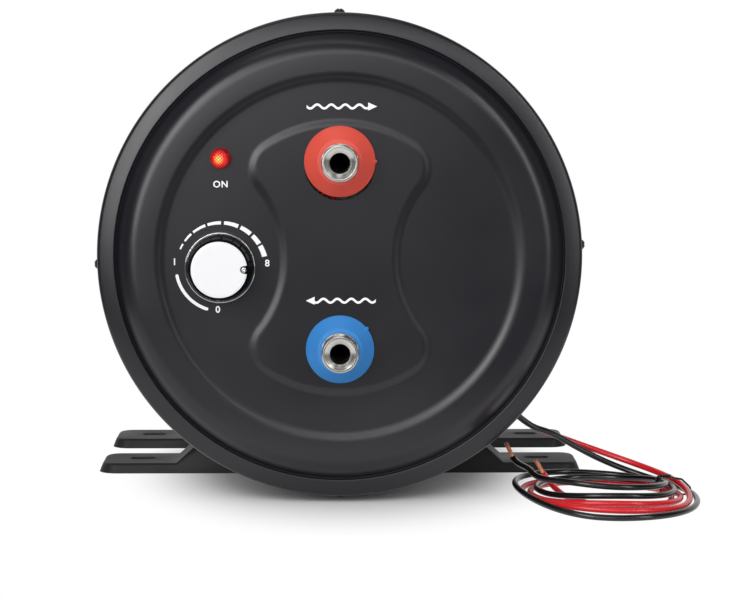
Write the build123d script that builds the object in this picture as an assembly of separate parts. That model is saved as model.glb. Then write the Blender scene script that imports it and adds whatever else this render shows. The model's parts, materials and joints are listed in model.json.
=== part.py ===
"""Drum-shaped 12 V water heater with two pipe stubs, a thermostat knob and a pair of coiled leads.

Millimetres. X to the right, Y away from the control panel, Z up, floor at Z = 0. The drum is modelled about
its own axis, front towards -Y, and then set down on its feet.
"""
from build123d import *
import math
import os

import numpy as np

# Drum
DRUM_R = 140.0
SHELL_LENGTH = 340.0
SHEET = 1.0
SKIRT_GAP = 0.2
SKIRT_DEPTH = 16.0
FLOOR_GAP = 4.0

# End cover pressing: shares of the drum's radius, widths inwards, and heights above the end of the shell
RIM_HEIGHT = 2.6
RIM_FILLET = 3.0
LIP_SHARE = 129.6 / 140.0
LIP_HEIGHT = 5.0
LIP_FILLET = 1.4
GROOVE_OUTER_SLOPE = 2.6
GROOVE_WIDTH = 3.7
GROOVE_INNER_SLOPE = 2.5
GROOVE_HEIGHT = -3.0
GROOVE_FILLET = 1.9
SHOULDER_FILLET = 7.5
CROWN_HEIGHT = 14.0
STEP_SHARE = 104.0 / 140.0
STEP_SLOPE = 4.2
STEP_DROP = 2.5
STEP_FILLET = 2.2

# Hourglass emboss: middle line of its slope, as shares of the drum's radius
EMBOSS_SHARE = 77.5 / 140.0
EMBOSS_LOBE_SHARE = 16.0 / 140.0
EMBOSS_WAIST_SHARE = 66.8 / 140.0
EMBOSS_NECK_SHARE = 32.2 / 140.0
EMBOSS_SLOPE = 4.0
EMBOSS_HEIGHT = 2.2
EMBOSS_FILLET = 3.0

# Cover screws
SCREW_R = 1.95
SCREW_HEAD_R = 3.2
SCREW_HEAD_HEIGHT = 2.4
SCREW_LENGTH = 8.0
SCREW_EDGE = 8.0
SCREW_HOLE_GAP = 0.2
THREAD_GAP = 0.05
RECESS_WIDTH = 0.9
RECESS_LENGTH = 3.6
RECESS_DEPTH = 1.2
FRONT_SCREW_ANGLES = (2.5, 90.0, 182.0, 270.0)
REAR_SCREW_ANGLES = (0.0, 90.0, 180.0, 270.0)

# Feet
FOOT_PITCH_SHARE = 96.0 / 340.0
FOOT_HALF_WIDTH = 148.0
FOOT_DEPTH = 40.0
FOOT_HEIGHT = 6.0
FOOT_SHEET = 2.0
FOOT_END = 46.0
FOOT_RAMP_ANGLE = 42.5
FOOT_CORNER_R = 9.0
FOOT_EDGE_FILLET = 1.5
SADDLE_GAP = 0.1
SLOT_INSET = 24.0
SLOT_LENGTH = 16.0
SLOT_WIDTH = 8.0

# Tank
FOAM_THICKNESS = 26.0
TANK_WALL = 1.2
TANK_SETBACK = 30.0
TANK_REAR_GAP = 14.5
TANK_LIFT = 1.5
HEAD_CROWN_SHARE = 180.0 / 114.0
HEAD_KNUCKLE_SHARE = 30.0 / 114.0
HEAD_FLANGE = 10.0
WELD_GAP = 0.05

# Insulation
FOAM_GAP = 0.3
FOAM_LIP = 22.0
FOAM_FRONT_DEPTH = 28.0
FOAM_REAR_DEPTH = 15.0
FOAM_REAR_OVERLAP = 2.0
FOAM_EDGE = 14.0

# Pipe stubs and collars
PIPE_INSET = 23.6
PIPE_R = 10.3
PIPE_BORE_R = 5.8
PIPE_REACH = 25.0
PIPE_INSIDE = 25.0
PIPE_CHAMFER = 1.0
PIPE_THREAD_R = 10.48
PIPE_THREAD = 14.0
COVER_HOLE_INSET = 24.4
COVER_HOLE_R = 20.0
COLLAR_R = 20.3
COLLAR_RIM = 1.6
COLLAR_HEIGHT = 10.5
COLLAR_TOP_R = 12.7
COLLAR_WALL = 2.0
COLLAR_GAP = 0.25
COLLAR_TAB = 1.6
HOT_TAB_ANGLE = 0.0
COLD_TAB_ANGLE = 38.0
TUBE_R = 7.4
TUBE_BORE_R = 6.2
TUBE_BEND_R = 14.0
HOT_TUBE_BACK = 10.7
HOT_TUBE_SPACE = 13.9
COLD_TUBE_BACK = 0.7
COLD_TUBE_SPACE = 16.9

# Heater
HEATER_SHARES = (50.0 / 114.0, -38.0 / 114.0)
BOSS_R = 23.0
BOSS_FRONT = 5.0
BOSS_INSIDE = 28.0
HEATER_THREAD_R = 16.6
HEATER_FLATS = 46.0
HEATER_HEX = 11.0
HEATER_THREAD = 30.0
GASKET = 1.5
ELEMENT_R = 4.0
ELEMENT_HALF = 9.0
ELEMENT_LENGTH = 180.0
STUD_R = 2.2
STUD_LENGTH = 9.0

# Thermostat
KNOB_SHARES = (-68.5 / 140.0, -5.2 / 140.0)
BODY_WIDTH = 40.0
BODY_TALL = 46.0
BODY_DEPTH = 28.0
BODY_FILLET = 2.0
BRACKET_WIDTH = 44.0
BRACKET_TALL = 36.0
BRACKET_SHEET = 1.5
BUSHING_R = 4.9
BUSHING_STAND = 1.4
BUSHING_GAP = 0.3
SHAFT_R = 3.0
SHAFT_GAP = 0.05
SHAFT_FLAT = 2.2
SHAFT_INSIDE = 9.0
SHAFT_REACH = 12.4
BODY_SCREW_R = 1.95
BODY_SCREW_X = 13.4
BODY_SCREW_HEAD_R = 3.6
BODY_SCREW_HEAD = 2.2
BODY_SCREW_TIP = 1.8
TERMINAL_HALF = 10.0
TERMINAL_WIDTH = 6.3
TERMINAL_SHEET = 0.8
TERMINAL_LENGTH = 8.0
TERMINAL_DEPTH = 14.0
BULB_R = 3.2
BULB_LENGTH = 78.0
POCKET_SHARES = (-42.0 / 114.0, -46.0 / 114.0)
POCKET_WALL = 1.0
POCKET_GAP = 0.4
POCKET_LENGTH = 97.0
POCKET_STAND = 2.0
CAPILLARY_R = 1.0
CAPILLARY_BEND_R = 8.0

# Knob
KNOB_R = 20.25
KNOB_RING_WALL = 1.2
KNOB_RING = 3.0
KNOB_RING_EDGE = 0.5
KNOB_RING_GAP = 0.05
KNOB_TOP_R = 17.2
KNOB_STAND = 1.0
KNOB_HEIGHT = 15.2
KNOB_EDGE = 0.6
KNOB_SKIRT_WALL = 1.0
KNOB_WALL = 2.2
KNOB_FACE = 3.0
HUB_R = 5.6
HUB_STAND = 0.4
CAP_R = 15.95
CAP_GAP = 0.1
CAP_SEAT = 1.6
CAP_HEIGHT = 2.2
CAP_EDGE = 0.6
POINTER_X = 14.1
POINTER_R = 1.5
POINTER_HEIGHT = 2.6
NOTCH_R = 2.6

# Indicator lamp
LAMP_SHARES = (-67.9 / 140.0, 57.3 / 140.0)
LENS_R = 5.9
LENS_RIM = 1.3
LENS_HEIGHT = 4.6
LAMP_BODY_R = 4.9
LAMP_BODY_LENGTH = 25.0
LAMP_GAP = 0.2
LAMP_NUT_FLATS = 14.0
LAMP_NUT = 3.0
LAMP_PIN_R = 0.8
LAMP_PIN_HALF = 2.0
LAMP_PIN = 6.0

# Thermal cut-out
CUTOUT_R = 8.0
CUTOUT_RIM = 3.0
CUTOUT_CAP_R = 5.5
CUTOUT_CAP = 8.0
CUTOUT_SEAT = 0.1
CUTOUT_TERMINAL_HALF = 3.0
CUTOUT_TERMINAL = 7.0
CUTOUT_TERMINAL_R = 0.9
STRAP_HALF = 19.0
STRAP_WIDTH = 12.0
STRAP_SHEET = 1.0
STRAP_GAP = 0.3
STRAP_STUD_X = 14.0
STRAP_STUD_R = 2.0
STRAP_STUD_TOP = 5.0
STRAP_NUT_FLATS = 7.0
STRAP_NUT = 3.2

# Leads
WIRE_R = 1.8
WIRE_GAP = 0.05
GROMMET_ANGLE = -43.0
GROMMET_SETBACK = 40.0
GROMMET_NECK_R = 6.0
GROMMET_FLANGE_R = 8.5
GROMMET_FLANGE = 2.4
GROMMET_GAP = 0.05
GROMMET_BACK = 2.5
LEAD_PITCH = 4.8
STRIPPED_R = 1.25
STRIPPED_LENGTH = 10.0
INNER_WIRE_R = 1.2

# Wiring inside the drum
WIRE_LOOP = 10.0
LINK_CLEAR = 9.3
WIRE_BEND_R = 5.0
LOOM_SETBACK = 10.0
LOOM_X = 36.0
LOOM_SHARE = 88.0 / 140.0
LOOM_SIDE_SHARE = 95.0 / 140.0
LOOM_TURN_INSET = 20.0

# Free stretches of the leads, from the grommet towards the coil
BEND_SHARE = 0.45
LEAD_TURN_OUT = 14.0
LEAD_RUN_IN = 14.0

# Coil of the two leads on the floor; turns in degrees, clockwise from its right-hand end
COIL_RIGHT = 205.0
COIL_MIDDLE_Y = -166.0
COIL_HALF_X = 52.0
COIL_HALF_Y = 58.0
LOOP_STEP_X = 4.9
LOOP_STEP_Y = 7.0
LOOP_DRIFT_Y = 2.0
COIL_SKEW = 6.0
PAIR_PITCH = 4.4
LAYER = 4.5
COIL_BASE = 0.7
COIL_START = -105.0
QUARTER_TURN = 90.0
RED_COIL_END = 870.0
RED_LANDS = 40.0
RED_DROP = 25.0
RED_TUCK = 8.0
RED_TUCK_SPAN = (720.0, 850.0)
RED_RISE = 5.0
RED_RISE_FROM = 760.0
RED_TIP = (121.0, -147.0, 12.0)
RED_TIP_WAY = (-0.4, 0.3, 0.7)
BLACK_COIL_END = 900.0
BLACK_LANDS = -10.0
BLACK_DROP = 23.0
BLACK_UNDER = 8.9
BLACK_UNDER_SPAN = (-105.0, -15.0)
BLACK_CLIMB_SPAN = (95.0, 175.0)
BLACK_TUCK = 8.2
BLACK_TUCK_SPAN = (175.0, 285.0)
BLACK_TOP_SPAN = (640.0, 760.0)
BLACK_SPREAD_SPAN = (720.0, 850.0)
BLACK_RISE = 6.0
BLACK_RISE_FROM = 800.0
BLACK_TIP = (103.9, -130.0, 18.9)
BLACK_TIP_WAY = (-0.42, 0.2, 0.885)
TIE_ANGLE = -20.0
TIE_SHEET = 1.0
TIE_WIDTH = 3.0
TIE_CLEAR = 0.9
TIE_REACH = 6

# Sizes worked out from those above
SHELL_R = DRUM_R - SHEET - SKIRT_GAP
LIP_R = DRUM_R * LIP_SHARE
GROOVE_OUTER_R = LIP_R - GROOVE_OUTER_SLOPE
GROOVE_INNER_R = GROOVE_OUTER_R - GROOVE_WIDTH
SHOULDER_R = GROOVE_INNER_R - GROOVE_INNER_SLOPE
STEP_OUTER_R = DRUM_R * STEP_SHARE
STEP_INNER_R = STEP_OUTER_R - STEP_SLOPE
EMBOSS_R = DRUM_R * EMBOSS_SHARE
EMBOSS_LOBE_R = DRUM_R * EMBOSS_LOBE_SHARE
EMBOSS_WAIST_R = DRUM_R * EMBOSS_WAIST_SHARE
EMBOSS_WAIST_HALF = DRUM_R * EMBOSS_NECK_SHARE
KNOB_X, KNOB_Z = [DRUM_R * share for share in KNOB_SHARES]
LAMP_X, LAMP_Z = [DRUM_R * share for share in LAMP_SHARES]
FOOT_PITCH = SHELL_LENGTH * FOOT_PITCH_SHARE
FOOT_RAMP_X = FOOT_HALF_WIDTH - FOOT_END
SLOT_X = FOOT_HALF_WIDTH - SLOT_INSET
TANK_R = DRUM_R - FOAM_THICKNESS
HEAD_CROWN_R = TANK_R * HEAD_CROWN_SHARE
HEAD_KNUCKLE_R = TANK_R * HEAD_KNUCKLE_SHARE
FOAM_OPENING_R = TANK_R - FOAM_LIP
FOAM_REAR_R = TANK_R + FOAM_REAR_OVERLAP
PIPE_Z = EMBOSS_R - PIPE_INSET
COVER_HOLE_Z = EMBOSS_R - COVER_HOLE_INSET
HOT_TUBE_RISE = TANK_R - TANK_WALL - PIPE_Z - HOT_TUBE_SPACE
COLD_TUBE_DROP = TANK_R - TANK_WALL - PIPE_Z - COLD_TUBE_SPACE
HEATER_X, HEATER_Z = [TANK_R * share for share in HEATER_SHARES]
POCKET_X, POCKET_Z = [TANK_R * share for share in POCKET_SHARES]
LOOM_Z = DRUM_R * LOOM_SHARE
LOOM_SIDE_X = DRUM_R * LOOM_SIDE_SHARE
LOOM_TURN_R = DRUM_R - LOOM_TURN_INSET
LEAD_TURN_R = DRUM_R + LEAD_TURN_OUT
AXIS_Z = DRUM_R + FLOOR_GAP
PANEL_HEIGHT = CROWN_HEIGHT - STEP_DROP
PLATEAU_HEIGHT = PANEL_HEIGHT + EMBOSS_HEIGHT
PANEL_BACK = PANEL_HEIGHT - SHEET
PIPE_TIP = PLATEAU_HEIGHT + PIPE_REACH
DRUM_Y = (PIPE_TIP - CROWN_HEIGHT) / 2
HEAD_CENTRE_R = TANK_R - HEAD_KNUCKLE_R
HEAD_CENTRE_GAP = HEAD_CROWN_R - HEAD_KNUCKLE_R
HEAD_DEPTH = HEAD_CROWN_R - math.sqrt(HEAD_CENTRE_GAP**2 - HEAD_CENTRE_R**2)
HOT_TUBE_RUN = HEAD_DEPTH - PIPE_INSIDE - HOT_TUBE_BACK
COLD_TUBE_RUN = HEAD_DEPTH - PIPE_INSIDE - COLD_TUBE_BACK
TANK_FRONT = -SHELL_LENGTH / 2 + TANK_SETBACK
TANK_REAR = SHELL_LENGTH / 2 - TANK_REAR_GAP
FOAM_R = SHELL_R - SHEET - FOAM_GAP
HOT_Z = TANK_LIFT + PIPE_Z
COLD_Z = TANK_LIFT - PIPE_Z
POCKET_R = BULB_R + POCKET_GAP + POCKET_WALL
TANK_SEAMS = (TANK_FRONT + HEAD_DEPTH + HEAD_FLANGE, TANK_REAR - HEAD_DEPTH - HEAD_FLANGE)
TANK_MIDDLE = Plane((0, (TANK_FRONT + TANK_REAR) / 2, 0), x_dir=(1, 0, 0), z_dir=(0, 1, 0))
STRAP_TOP = TANK_FRONT - CUTOUT_SEAT - CUTOUT_RIM - STRAP_SHEET
TERMINALS_X = (KNOB_X - TERMINAL_HALF, KNOB_X + TERMINAL_HALF)
CUTOUT_PINS_X = (-CUTOUT_TERMINAL_HALF, CUTOUT_TERMINAL_HALF)
LEAD_EXIT_R = SHELL_R + GROMMET_GAP + GROMMET_FLANGE
RED_Y = -SHELL_LENGTH / 2 + GROMMET_SETBACK + LEAD_PITCH / 2
BLACK_Y = RED_Y - LEAD_PITCH
DRUM_PLACE = Pos(0, DRUM_Y, AXIS_Z)

# Side of the cover's outline on which its sheet lies, and the reach used to pick out edges
COVER_INSIDE = Side.RIGHT
TOUCH = 0.01


def front_y(height):
    """Y of a height above the front end of the shell."""
    return -SHELL_LENGTH / 2 - height


def rod(x, z, start, end, radius):
    """Cylinder along Y between two places."""
    return Pos(x, (start + end) / 2, z) * Rot(90, 0, 0) * Cylinder(radius, abs(end - start))


def pipe(x, z, start, end, radius, bore):
    """Round tube along Y between two places."""
    return rod(x, z, start, end, radius) - rod(x, z, start, end, bore)


def hexagon(x, z, start, end, flats):
    """Hexagonal bar along Y between two places."""
    outline = RegularPolygon(flats / 2, 6, major_radius=False)
    return Pos(x, max(start, end), z) * Rot(90, 0, 0) * extrude(outline, abs(end - start))


def raised(points, x=0.0, z=0.0):
    """Solid turned about an axis along Y from (radius, height above the shell's front end) points."""
    outline = Polyline(*[(radius, front_y(height)) for radius, height in points], close=True)
    return Pos(x, 0, z) * revolve(make_face(outline), Axis.Y)


def wire_tube(points, bend, radius):
    """Round tube along straight runs joined by arcs, of one radius or of a list of radii."""
    path = FilletPolyline(*points, radius=bend)
    return sweep(Plane(path @ 0, z_dir=path % 0) * Circle(radius), path)


def on_rim(angle):
    """Frame on the drum's axis whose Z points outwards at an angle from the right, seen from the front."""
    return Rot(0, 90 - angle, 0)


def cover_blank():
    """Pressed end cover before its holes: skirt, rim, lip, groove, shoulder and stepped panel."""
    corners = [
        (DRUM_R, -SKIRT_DEPTH),
        (DRUM_R, RIM_HEIGHT),
        (LIP_R, LIP_HEIGHT),
        (GROOVE_OUTER_R, GROOVE_HEIGHT),
        (GROOVE_INNER_R, GROOVE_HEIGHT),
        (SHOULDER_R, CROWN_HEIGHT),
        (STEP_OUTER_R, CROWN_HEIGHT),
        (STEP_INNER_R, PANEL_HEIGHT),
        (0, PANEL_HEIGHT),
    ]
    fillets = [RIM_FILLET, LIP_FILLET, *[GROOVE_FILLET] * 2, SHOULDER_FILLET, *[STEP_FILLET] * 2]
    outside = FilletPolyline(*[(radius, front_y(height)) for radius, height in corners], radius=fillets)
    section = offset(outside, SHEET, side=COVER_INSIDE, closed=True)
    return revolve(make_face(section.edges()), Axis.Y)


def hourglass(grow, height):
    """Hourglass face made of tangent arcs, the middle line of its slope moved outwards by grow."""
    top = EMBOSS_R + grow
    lobe = EMBOSS_LOBE_R + grow
    waist = EMBOSS_WAIST_R - grow
    waist_x = EMBOSS_WAIST_HALF + EMBOSS_WAIST_R
    from_middle = EMBOSS_R - EMBOSS_LOBE_R
    from_waist = EMBOSS_WAIST_R + EMBOSS_LOBE_R
    lobe_x = (from_middle**2 - from_waist**2 + waist_x**2) / (2 * waist_x)
    centre = Vector(lobe_x, math.sqrt(from_middle**2 - lobe_x**2))
    outwards = centre.normalized()
    to_waist = (Vector(waist_x, 0) - centre).normalized()
    on_top = outwards * top
    on_waist = centre + to_waist * lobe
    lobe_middle = centre + (outwards + to_waist).normalized() * lobe
    upper = [
        ThreePointArc((-on_top.X, on_top.Y), (0, top), on_top),
        ThreePointArc(on_top, lobe_middle, on_waist),
        ThreePointArc(on_waist, (waist_x - waist, 0), (on_waist.X, -on_waist.Y)),
        ThreePointArc((on_waist.X, -on_waist.Y), (lobe_middle.X, -lobe_middle.Y), (on_top.X, -on_top.Y)),
    ]
    outline = upper + [arc.rotate(Axis.Z, 180) for arc in upper]
    return Plane((0, front_y(height), 0), x_dir=(1, 0, 0), z_dir=(0, -1, 0)) * make_face(outline)


def emboss(height):
    """Raised hourglass with sloping sides, standing on a height above the shell's end."""
    base = hourglass(EMBOSS_SLOPE / 2, height)
    top = hourglass(-EMBOSS_SLOPE / 2, height + EMBOSS_HEIGHT)
    return loft([base, top], ruled=True)


def emboss_edges(cover):
    """Foot and crest of the emboss's slope on the cover's front."""
    found = ShapeList()
    reach = EMBOSS_R + EMBOSS_SLOPE
    for height in (PANEL_HEIGHT, PLATEAU_HEIGHT):
        level = cover.edges().filter_by_position(Axis.Y, front_y(height) - TOUCH, front_y(height) + TOUCH)
        found += level.filter_by(lambda edge: math.hypot((edge @ 0.5).X, (edge @ 0.5).Z) < reach)
    return found


def screw_holes(angles, y, radius):
    """Radial holes through the drum's wall."""
    return [on_rim(angle) * Pos(0, y, DRUM_R) * Cylinder(radius, 2 * SCREW_LENGTH) for angle in angles]


def cover_screws(angles, y):
    """Pan-head screws through the skirt into the shell."""
    dome_r = (SCREW_HEAD_R**2 + SCREW_HEAD_HEIGHT**2) / (2 * SCREW_HEAD_HEIGHT)
    screw = Pos(0, 0, SCREW_HEAD_HEIGHT - dome_r) * Sphere(dome_r)
    screw &= Pos(0, 0, SCREW_HEAD_HEIGHT / 2) * Cylinder(SCREW_HEAD_R, SCREW_HEAD_HEIGHT)
    screw += Pos(0, 0, -SCREW_LENGTH / 2) * Cylinder(SCREW_R, SCREW_LENGTH)
    for turn in (0, 90):
        slot = Box(RECESS_LENGTH, RECESS_WIDTH, 2 * RECESS_DEPTH)
        screw -= Pos(0, 0, SCREW_HEAD_HEIGHT) * Rot(0, 0, turn) * slot
    return [on_rim(angle) * Pos(0, y, DRUM_R) * screw for angle in angles]


def front_cover():
    """Front cover with emboss, pipe holes, thermostat and lamp holes."""
    cover = cover_blank() + emboss(PANEL_HEIGHT)
    cover = fillet(emboss_edges(cover), EMBOSS_FILLET)
    cover -= emboss(PANEL_BACK)
    through = (front_y(PANEL_BACK - SHEET), front_y(PLATEAU_HEIGHT + SHEET))
    for z in (COVER_HOLE_Z, -COVER_HOLE_Z):
        cover -= rod(0, z, *through, COVER_HOLE_R)
    cover -= rod(KNOB_X, KNOB_Z, *through, BUSHING_R + BUSHING_GAP)
    cover -= rod(LAMP_X, LAMP_Z, *through, LAMP_BODY_R + LAMP_GAP)
    for side in (-1, 1):
        cover -= rod(KNOB_X + side * BODY_SCREW_X, KNOB_Z, *through, BODY_SCREW_R + SCREW_HOLE_GAP)
    return cover - screw_holes(FRONT_SCREW_ANGLES, front_y(-SCREW_EDGE), SCREW_R + SCREW_HOLE_GAP)


def rear_cover():
    """Rear cover: the same pressing with a plain panel."""
    cover = mirror(cover_blank(), Plane.XZ)
    return cover - screw_holes(REAR_SCREW_ANGLES, -front_y(-SCREW_EDGE), SCREW_R + SCREW_HOLE_GAP)


def grommet_place():
    """Frame of the grommet: on the shell's outer face, Z outwards."""
    return on_rim(GROMMET_ANGLE) * Pos(0, front_y(-GROMMET_SETBACK), SHELL_R)


def outer_shell():
    """Rolled shell with the grommet's hole and the cover screws' holes."""
    shell = pipe(0, 0, front_y(0), -front_y(0), SHELL_R, SHELL_R - SHEET)
    shell -= screw_holes(FRONT_SCREW_ANGLES, front_y(-SCREW_EDGE), SCREW_R + THREAD_GAP)
    shell -= screw_holes(REAR_SCREW_ANGLES, -front_y(-SCREW_EDGE), SCREW_R + THREAD_GAP)
    return shell - grommet_place() * Cylinder(GROMMET_NECK_R + GROMMET_GAP, 2 * GROMMET_FLANGE_R)


def cable_grommet():
    """Rubber grommet with a flange on either side of the shell and a bore for each lead."""
    sag = SHELL_R - SHEET - math.sqrt((SHELL_R - SHEET) ** 2 - GROMMET_FLANGE_R**2)
    inner_face = -SHEET - sag - GROMMET_GAP
    neck = GROMMET_GAP - inner_face
    body = Pos(0, 0, inner_face + neck / 2) * Cylinder(GROMMET_NECK_R, neck)
    body += Pos(0, 0, GROMMET_GAP + GROMMET_FLANGE / 2) * Cylinder(GROMMET_FLANGE_R, GROMMET_FLANGE)
    body += Pos(0, 0, inner_face - GROMMET_BACK / 2) * Cylinder(GROMMET_FLANGE_R, GROMMET_BACK)
    for side in (-1, 1):
        body -= Pos(0, side * LEAD_PITCH / 2, 0) * Cylinder(WIRE_R + WIRE_GAP, 4 * GROMMET_FLANGE_R)
    return grommet_place() * body


def foot_block(inset):
    """Inside of a foot's outer faces moved inwards by inset; it reaches below the floor by as much."""
    top = FOOT_HEIGHT - inset
    half = FOOT_HALF_WIDTH - inset
    slope = math.tan(math.radians(FOOT_RAMP_ANGLE))
    ramp_x = FOOT_RAMP_X - inset * math.tan(math.radians(FOOT_RAMP_ANGLE / 2))
    saddle_r = SHELL_R + SADDLE_GAP + inset
    lean = slope * ramp_x - (AXIS_Z - top)
    spread = 1 + slope**2
    meet_x = (slope * lean + math.sqrt(spread * saddle_r**2 - lean**2)) / spread
    right = [(meet_x, top + slope * (ramp_x - meet_x)), (ramp_x, top), (half, top), (half, -inset)]
    left = [(-x, z) for x, z in reversed(right)]
    saddle = ThreePointArc(left[-1], (0, AXIS_Z - saddle_r), right[0])
    outline = make_face(Polyline(*right, *left).edges() + saddle.edges())
    block = extrude(Plane.XZ * outline, FOOT_DEPTH / 2 - inset, both=True)
    corners = block.edges().filter_by(Axis.Z)
    return fillet(corners, FOOT_CORNER_R - inset)


def foot(y):
    """Pressed foot: a pan open below, with a saddle for the drum and a slot at each end."""
    pan = foot_block(0)
    brim = pan.edges().filter_by(lambda edge: edge.bounding_box().min.Z > FOOT_HEIGHT - TOUCH)
    brim = brim.filter_by(lambda edge: abs(edge.center().X) > FOOT_RAMP_X / 2)
    brim = brim.filter_by(lambda edge: edge.bounding_box().size.Y < FOOT_DEPTH - TOUCH)
    pan = fillet(brim, FOOT_EDGE_FILLET) - foot_block(FOOT_SHEET)
    for side in (-1, 1):
        pan -= Pos(side * SLOT_X, 0, 0) * extrude(SlotOverall(SLOT_LENGTH, SLOT_WIDTH), 2 * FOOT_HEIGHT)
    return Pos(0, DRUM_Y + y, 0) * pan


def head_curve(grow, flange):
    """Dished head's outline grown outwards: crown, knuckle and straight flange, from the axis outwards."""
    centre = Vector(HEAD_CENTRE_R, TANK_FRONT + HEAD_DEPTH)
    middle = Vector(0, TANK_FRONT + HEAD_CROWN_R)
    crown = HEAD_CROWN_R + grow
    knuckle = HEAD_KNUCKLE_R + grow
    towards = (centre - middle).normalized()
    apex = middle - Vector(0, crown)
    meet = centre + towards * knuckle
    rim = centre + Vector(knuckle, 0)
    return [
        ThreePointArc(apex, middle + (towards - Vector(0, 1)).normalized() * crown, meet),
        ThreePointArc(meet, centre + (towards + Vector(1, 0)).normalized() * knuckle, rim),
        Line(rim, rim + Vector(0, flange)),
    ]


def head_shell():
    """Front head of the tank as a bare shell, on the tank's axis."""
    outer = head_curve(0, HEAD_FLANGE)
    inner = head_curve(-TANK_WALL, HEAD_FLANGE)
    closers = [Line(outer[0] @ 0, inner[0] @ 0), Line(outer[-1] @ 1, inner[-1] @ 1)]
    return revolve(make_face(outer + inner + closers), Axis.Y)


def tank_space():
    """Room that the tank takes inside the insulation."""
    half = (TANK_REAR - TANK_FRONT) / 2
    curve = head_curve(FOAM_GAP, half - HEAD_DEPTH)
    middle_y = TANK_FRONT + half
    closers = [Line(curve[-1] @ 1, (0, middle_y)), Line((0, middle_y), curve[0] @ 0)]
    front = revolve(make_face(curve + closers), Axis.Y)
    return Pos(0, 0, TANK_LIFT) * (front + mirror(front, TANK_MIDDLE))


def tank_front_head():
    """Front head with its openings and the two weld studs of the cut-out's strap."""
    head = Pos(0, 0, TANK_LIFT) * head_shell()
    through = (TANK_FRONT - SHEET, TANK_FRONT + HEAD_DEPTH)
    for z in (HOT_Z, COLD_Z):
        head -= rod(0, z, *through, PIPE_R + WELD_GAP)
    head -= rod(HEATER_X, HEATER_Z, *through, BOSS_R + WELD_GAP)
    head -= rod(POCKET_X, POCKET_Z, *through, POCKET_R + WELD_GAP)
    sag = HEAD_CROWN_R - math.sqrt(HEAD_CROWN_R**2 - (STRAP_STUD_X + STRAP_STUD_R) ** 2)
    stud_tip = STRAP_TOP - STRAP_STUD_TOP
    for side in (-1, 1):
        head += rod(side * STRAP_STUD_X, TANK_LIFT, TANK_FRONT + sag, stud_tip, STRAP_STUD_R)
    return head


def insulation():
    """Foam round the tank: sleeve, front ring and rear cap."""
    space = tank_space()
    seams = (TANK_FRONT + HEAD_DEPTH, TANK_REAR - HEAD_DEPTH)
    front = rod(0, 0, TANK_FRONT + FOAM_FRONT_DEPTH, seams[0], FOAM_R) - space
    front -= rod(0, TANK_LIFT, TANK_FRONT, seams[0], FOAM_OPENING_R)
    rear = rod(0, 0, seams[1], -front_y(-FOAM_EDGE), FOAM_R)
    rear += rod(0, 0, seams[1], TANK_REAR + FOAM_REAR_DEPTH, FOAM_REAR_R)
    return {
        "insulation_sleeve": rod(0, 0, *seams, FOAM_R) - space,
        "insulation_front": front,
        "insulation_rear": rear - space,
    }


def nipple(z):
    """Pipe stub welded into the tank's head, with a threaded and chamfered end."""
    tip = front_y(PIPE_TIP)
    stub = pipe(0, z, tip, TANK_FRONT + PIPE_INSIDE, PIPE_R, PIPE_BORE_R)
    stub += pipe(0, z, tip, tip + PIPE_THREAD, PIPE_THREAD_R, PIPE_BORE_R)
    return chamfer(stub.edges().filter_by_position(Axis.Y, tip - TOUCH, tip + TOUCH), PIPE_CHAMFER)


def collar(z, tab_angle):
    """Conical plastic collar on a pipe stub, resting on the cover's emboss."""
    top = PLATEAU_HEIGHT + COLLAR_HEIGHT
    bore = PIPE_R + COLLAR_GAP
    cone = raised([
        (COLLAR_R - COLLAR_WALL, PLATEAU_HEIGHT),
        (COLLAR_R, PLATEAU_HEIGHT),
        (COLLAR_R, PLATEAU_HEIGHT + COLLAR_RIM),
        (COLLAR_TOP_R, top),
        (bore, top),
        (bore, top - COLLAR_WALL),
    ])
    tab = Box(COLLAR_TAB, COLLAR_RIM, COLLAR_TAB)
    tab = Pos(COLLAR_R, front_y(PLATEAU_HEIGHT + COLLAR_RIM / 2), 0) * tab
    return Pos(0, 0, z) * (cone + Rot(0, -tab_angle, 0) * tab)


def inner_tube(z, run, rise):
    """Bent tube from a pipe stub's inner end to the top or bottom of the tank."""
    start = TANK_FRONT + PIPE_INSIDE
    points = [(0, start, z), (0, start + run, z), (0, start + run, z + rise)]
    return wire_tube(points, TUBE_BEND_R, TUBE_R) - wire_tube(points, TUBE_BEND_R, TUBE_BORE_R)


def heater():
    """Screw-in heater: boss in the head, gasket, hexagon plug, hairpin element and two terminal studs."""
    place = (HEATER_X, HEATER_Z)
    boss_face = TANK_FRONT - BOSS_FRONT
    plug_face = boss_face - GASKET
    plug_front = plug_face - HEATER_HEX
    plug_end = plug_face + HEATER_THREAD
    bore = HEATER_THREAD_R + THREAD_GAP
    plug = hexagon(*place, plug_front, plug_face, HEATER_FLATS)
    plug += rod(*place, plug_face, plug_end, HEATER_THREAD_R)
    far = plug_end + ELEMENT_LENGTH - ELEMENT_HALF
    legs = [HEATER_X - ELEMENT_HALF, HEATER_X + ELEMENT_HALF]
    hairpin = Wire([
        Line((legs[0], plug_end, HEATER_Z), (legs[0], far, HEATER_Z)),
        TangentArc((legs[0], far, HEATER_Z), (legs[1], far, HEATER_Z), tangent=(0, 1, 0)),
        Line((legs[1], far, HEATER_Z), (legs[1], plug_end, HEATER_Z)),
    ])
    return {
        "heater_boss": pipe(*place, boss_face, TANK_FRONT + BOSS_INSIDE, BOSS_R, bore),
        "heater_gasket": pipe(*place, plug_face, boss_face, BOSS_R, bore),
        "heater_plug": plug,
        "heater_element": sweep(Plane(hairpin @ 0, z_dir=hairpin % 0) * Circle(ELEMENT_R), hairpin),
        "heater_terminals": [rod(x, HEATER_Z, plug_front - STUD_LENGTH, plug_front, STUD_R) for x in legs],
    }


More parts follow.
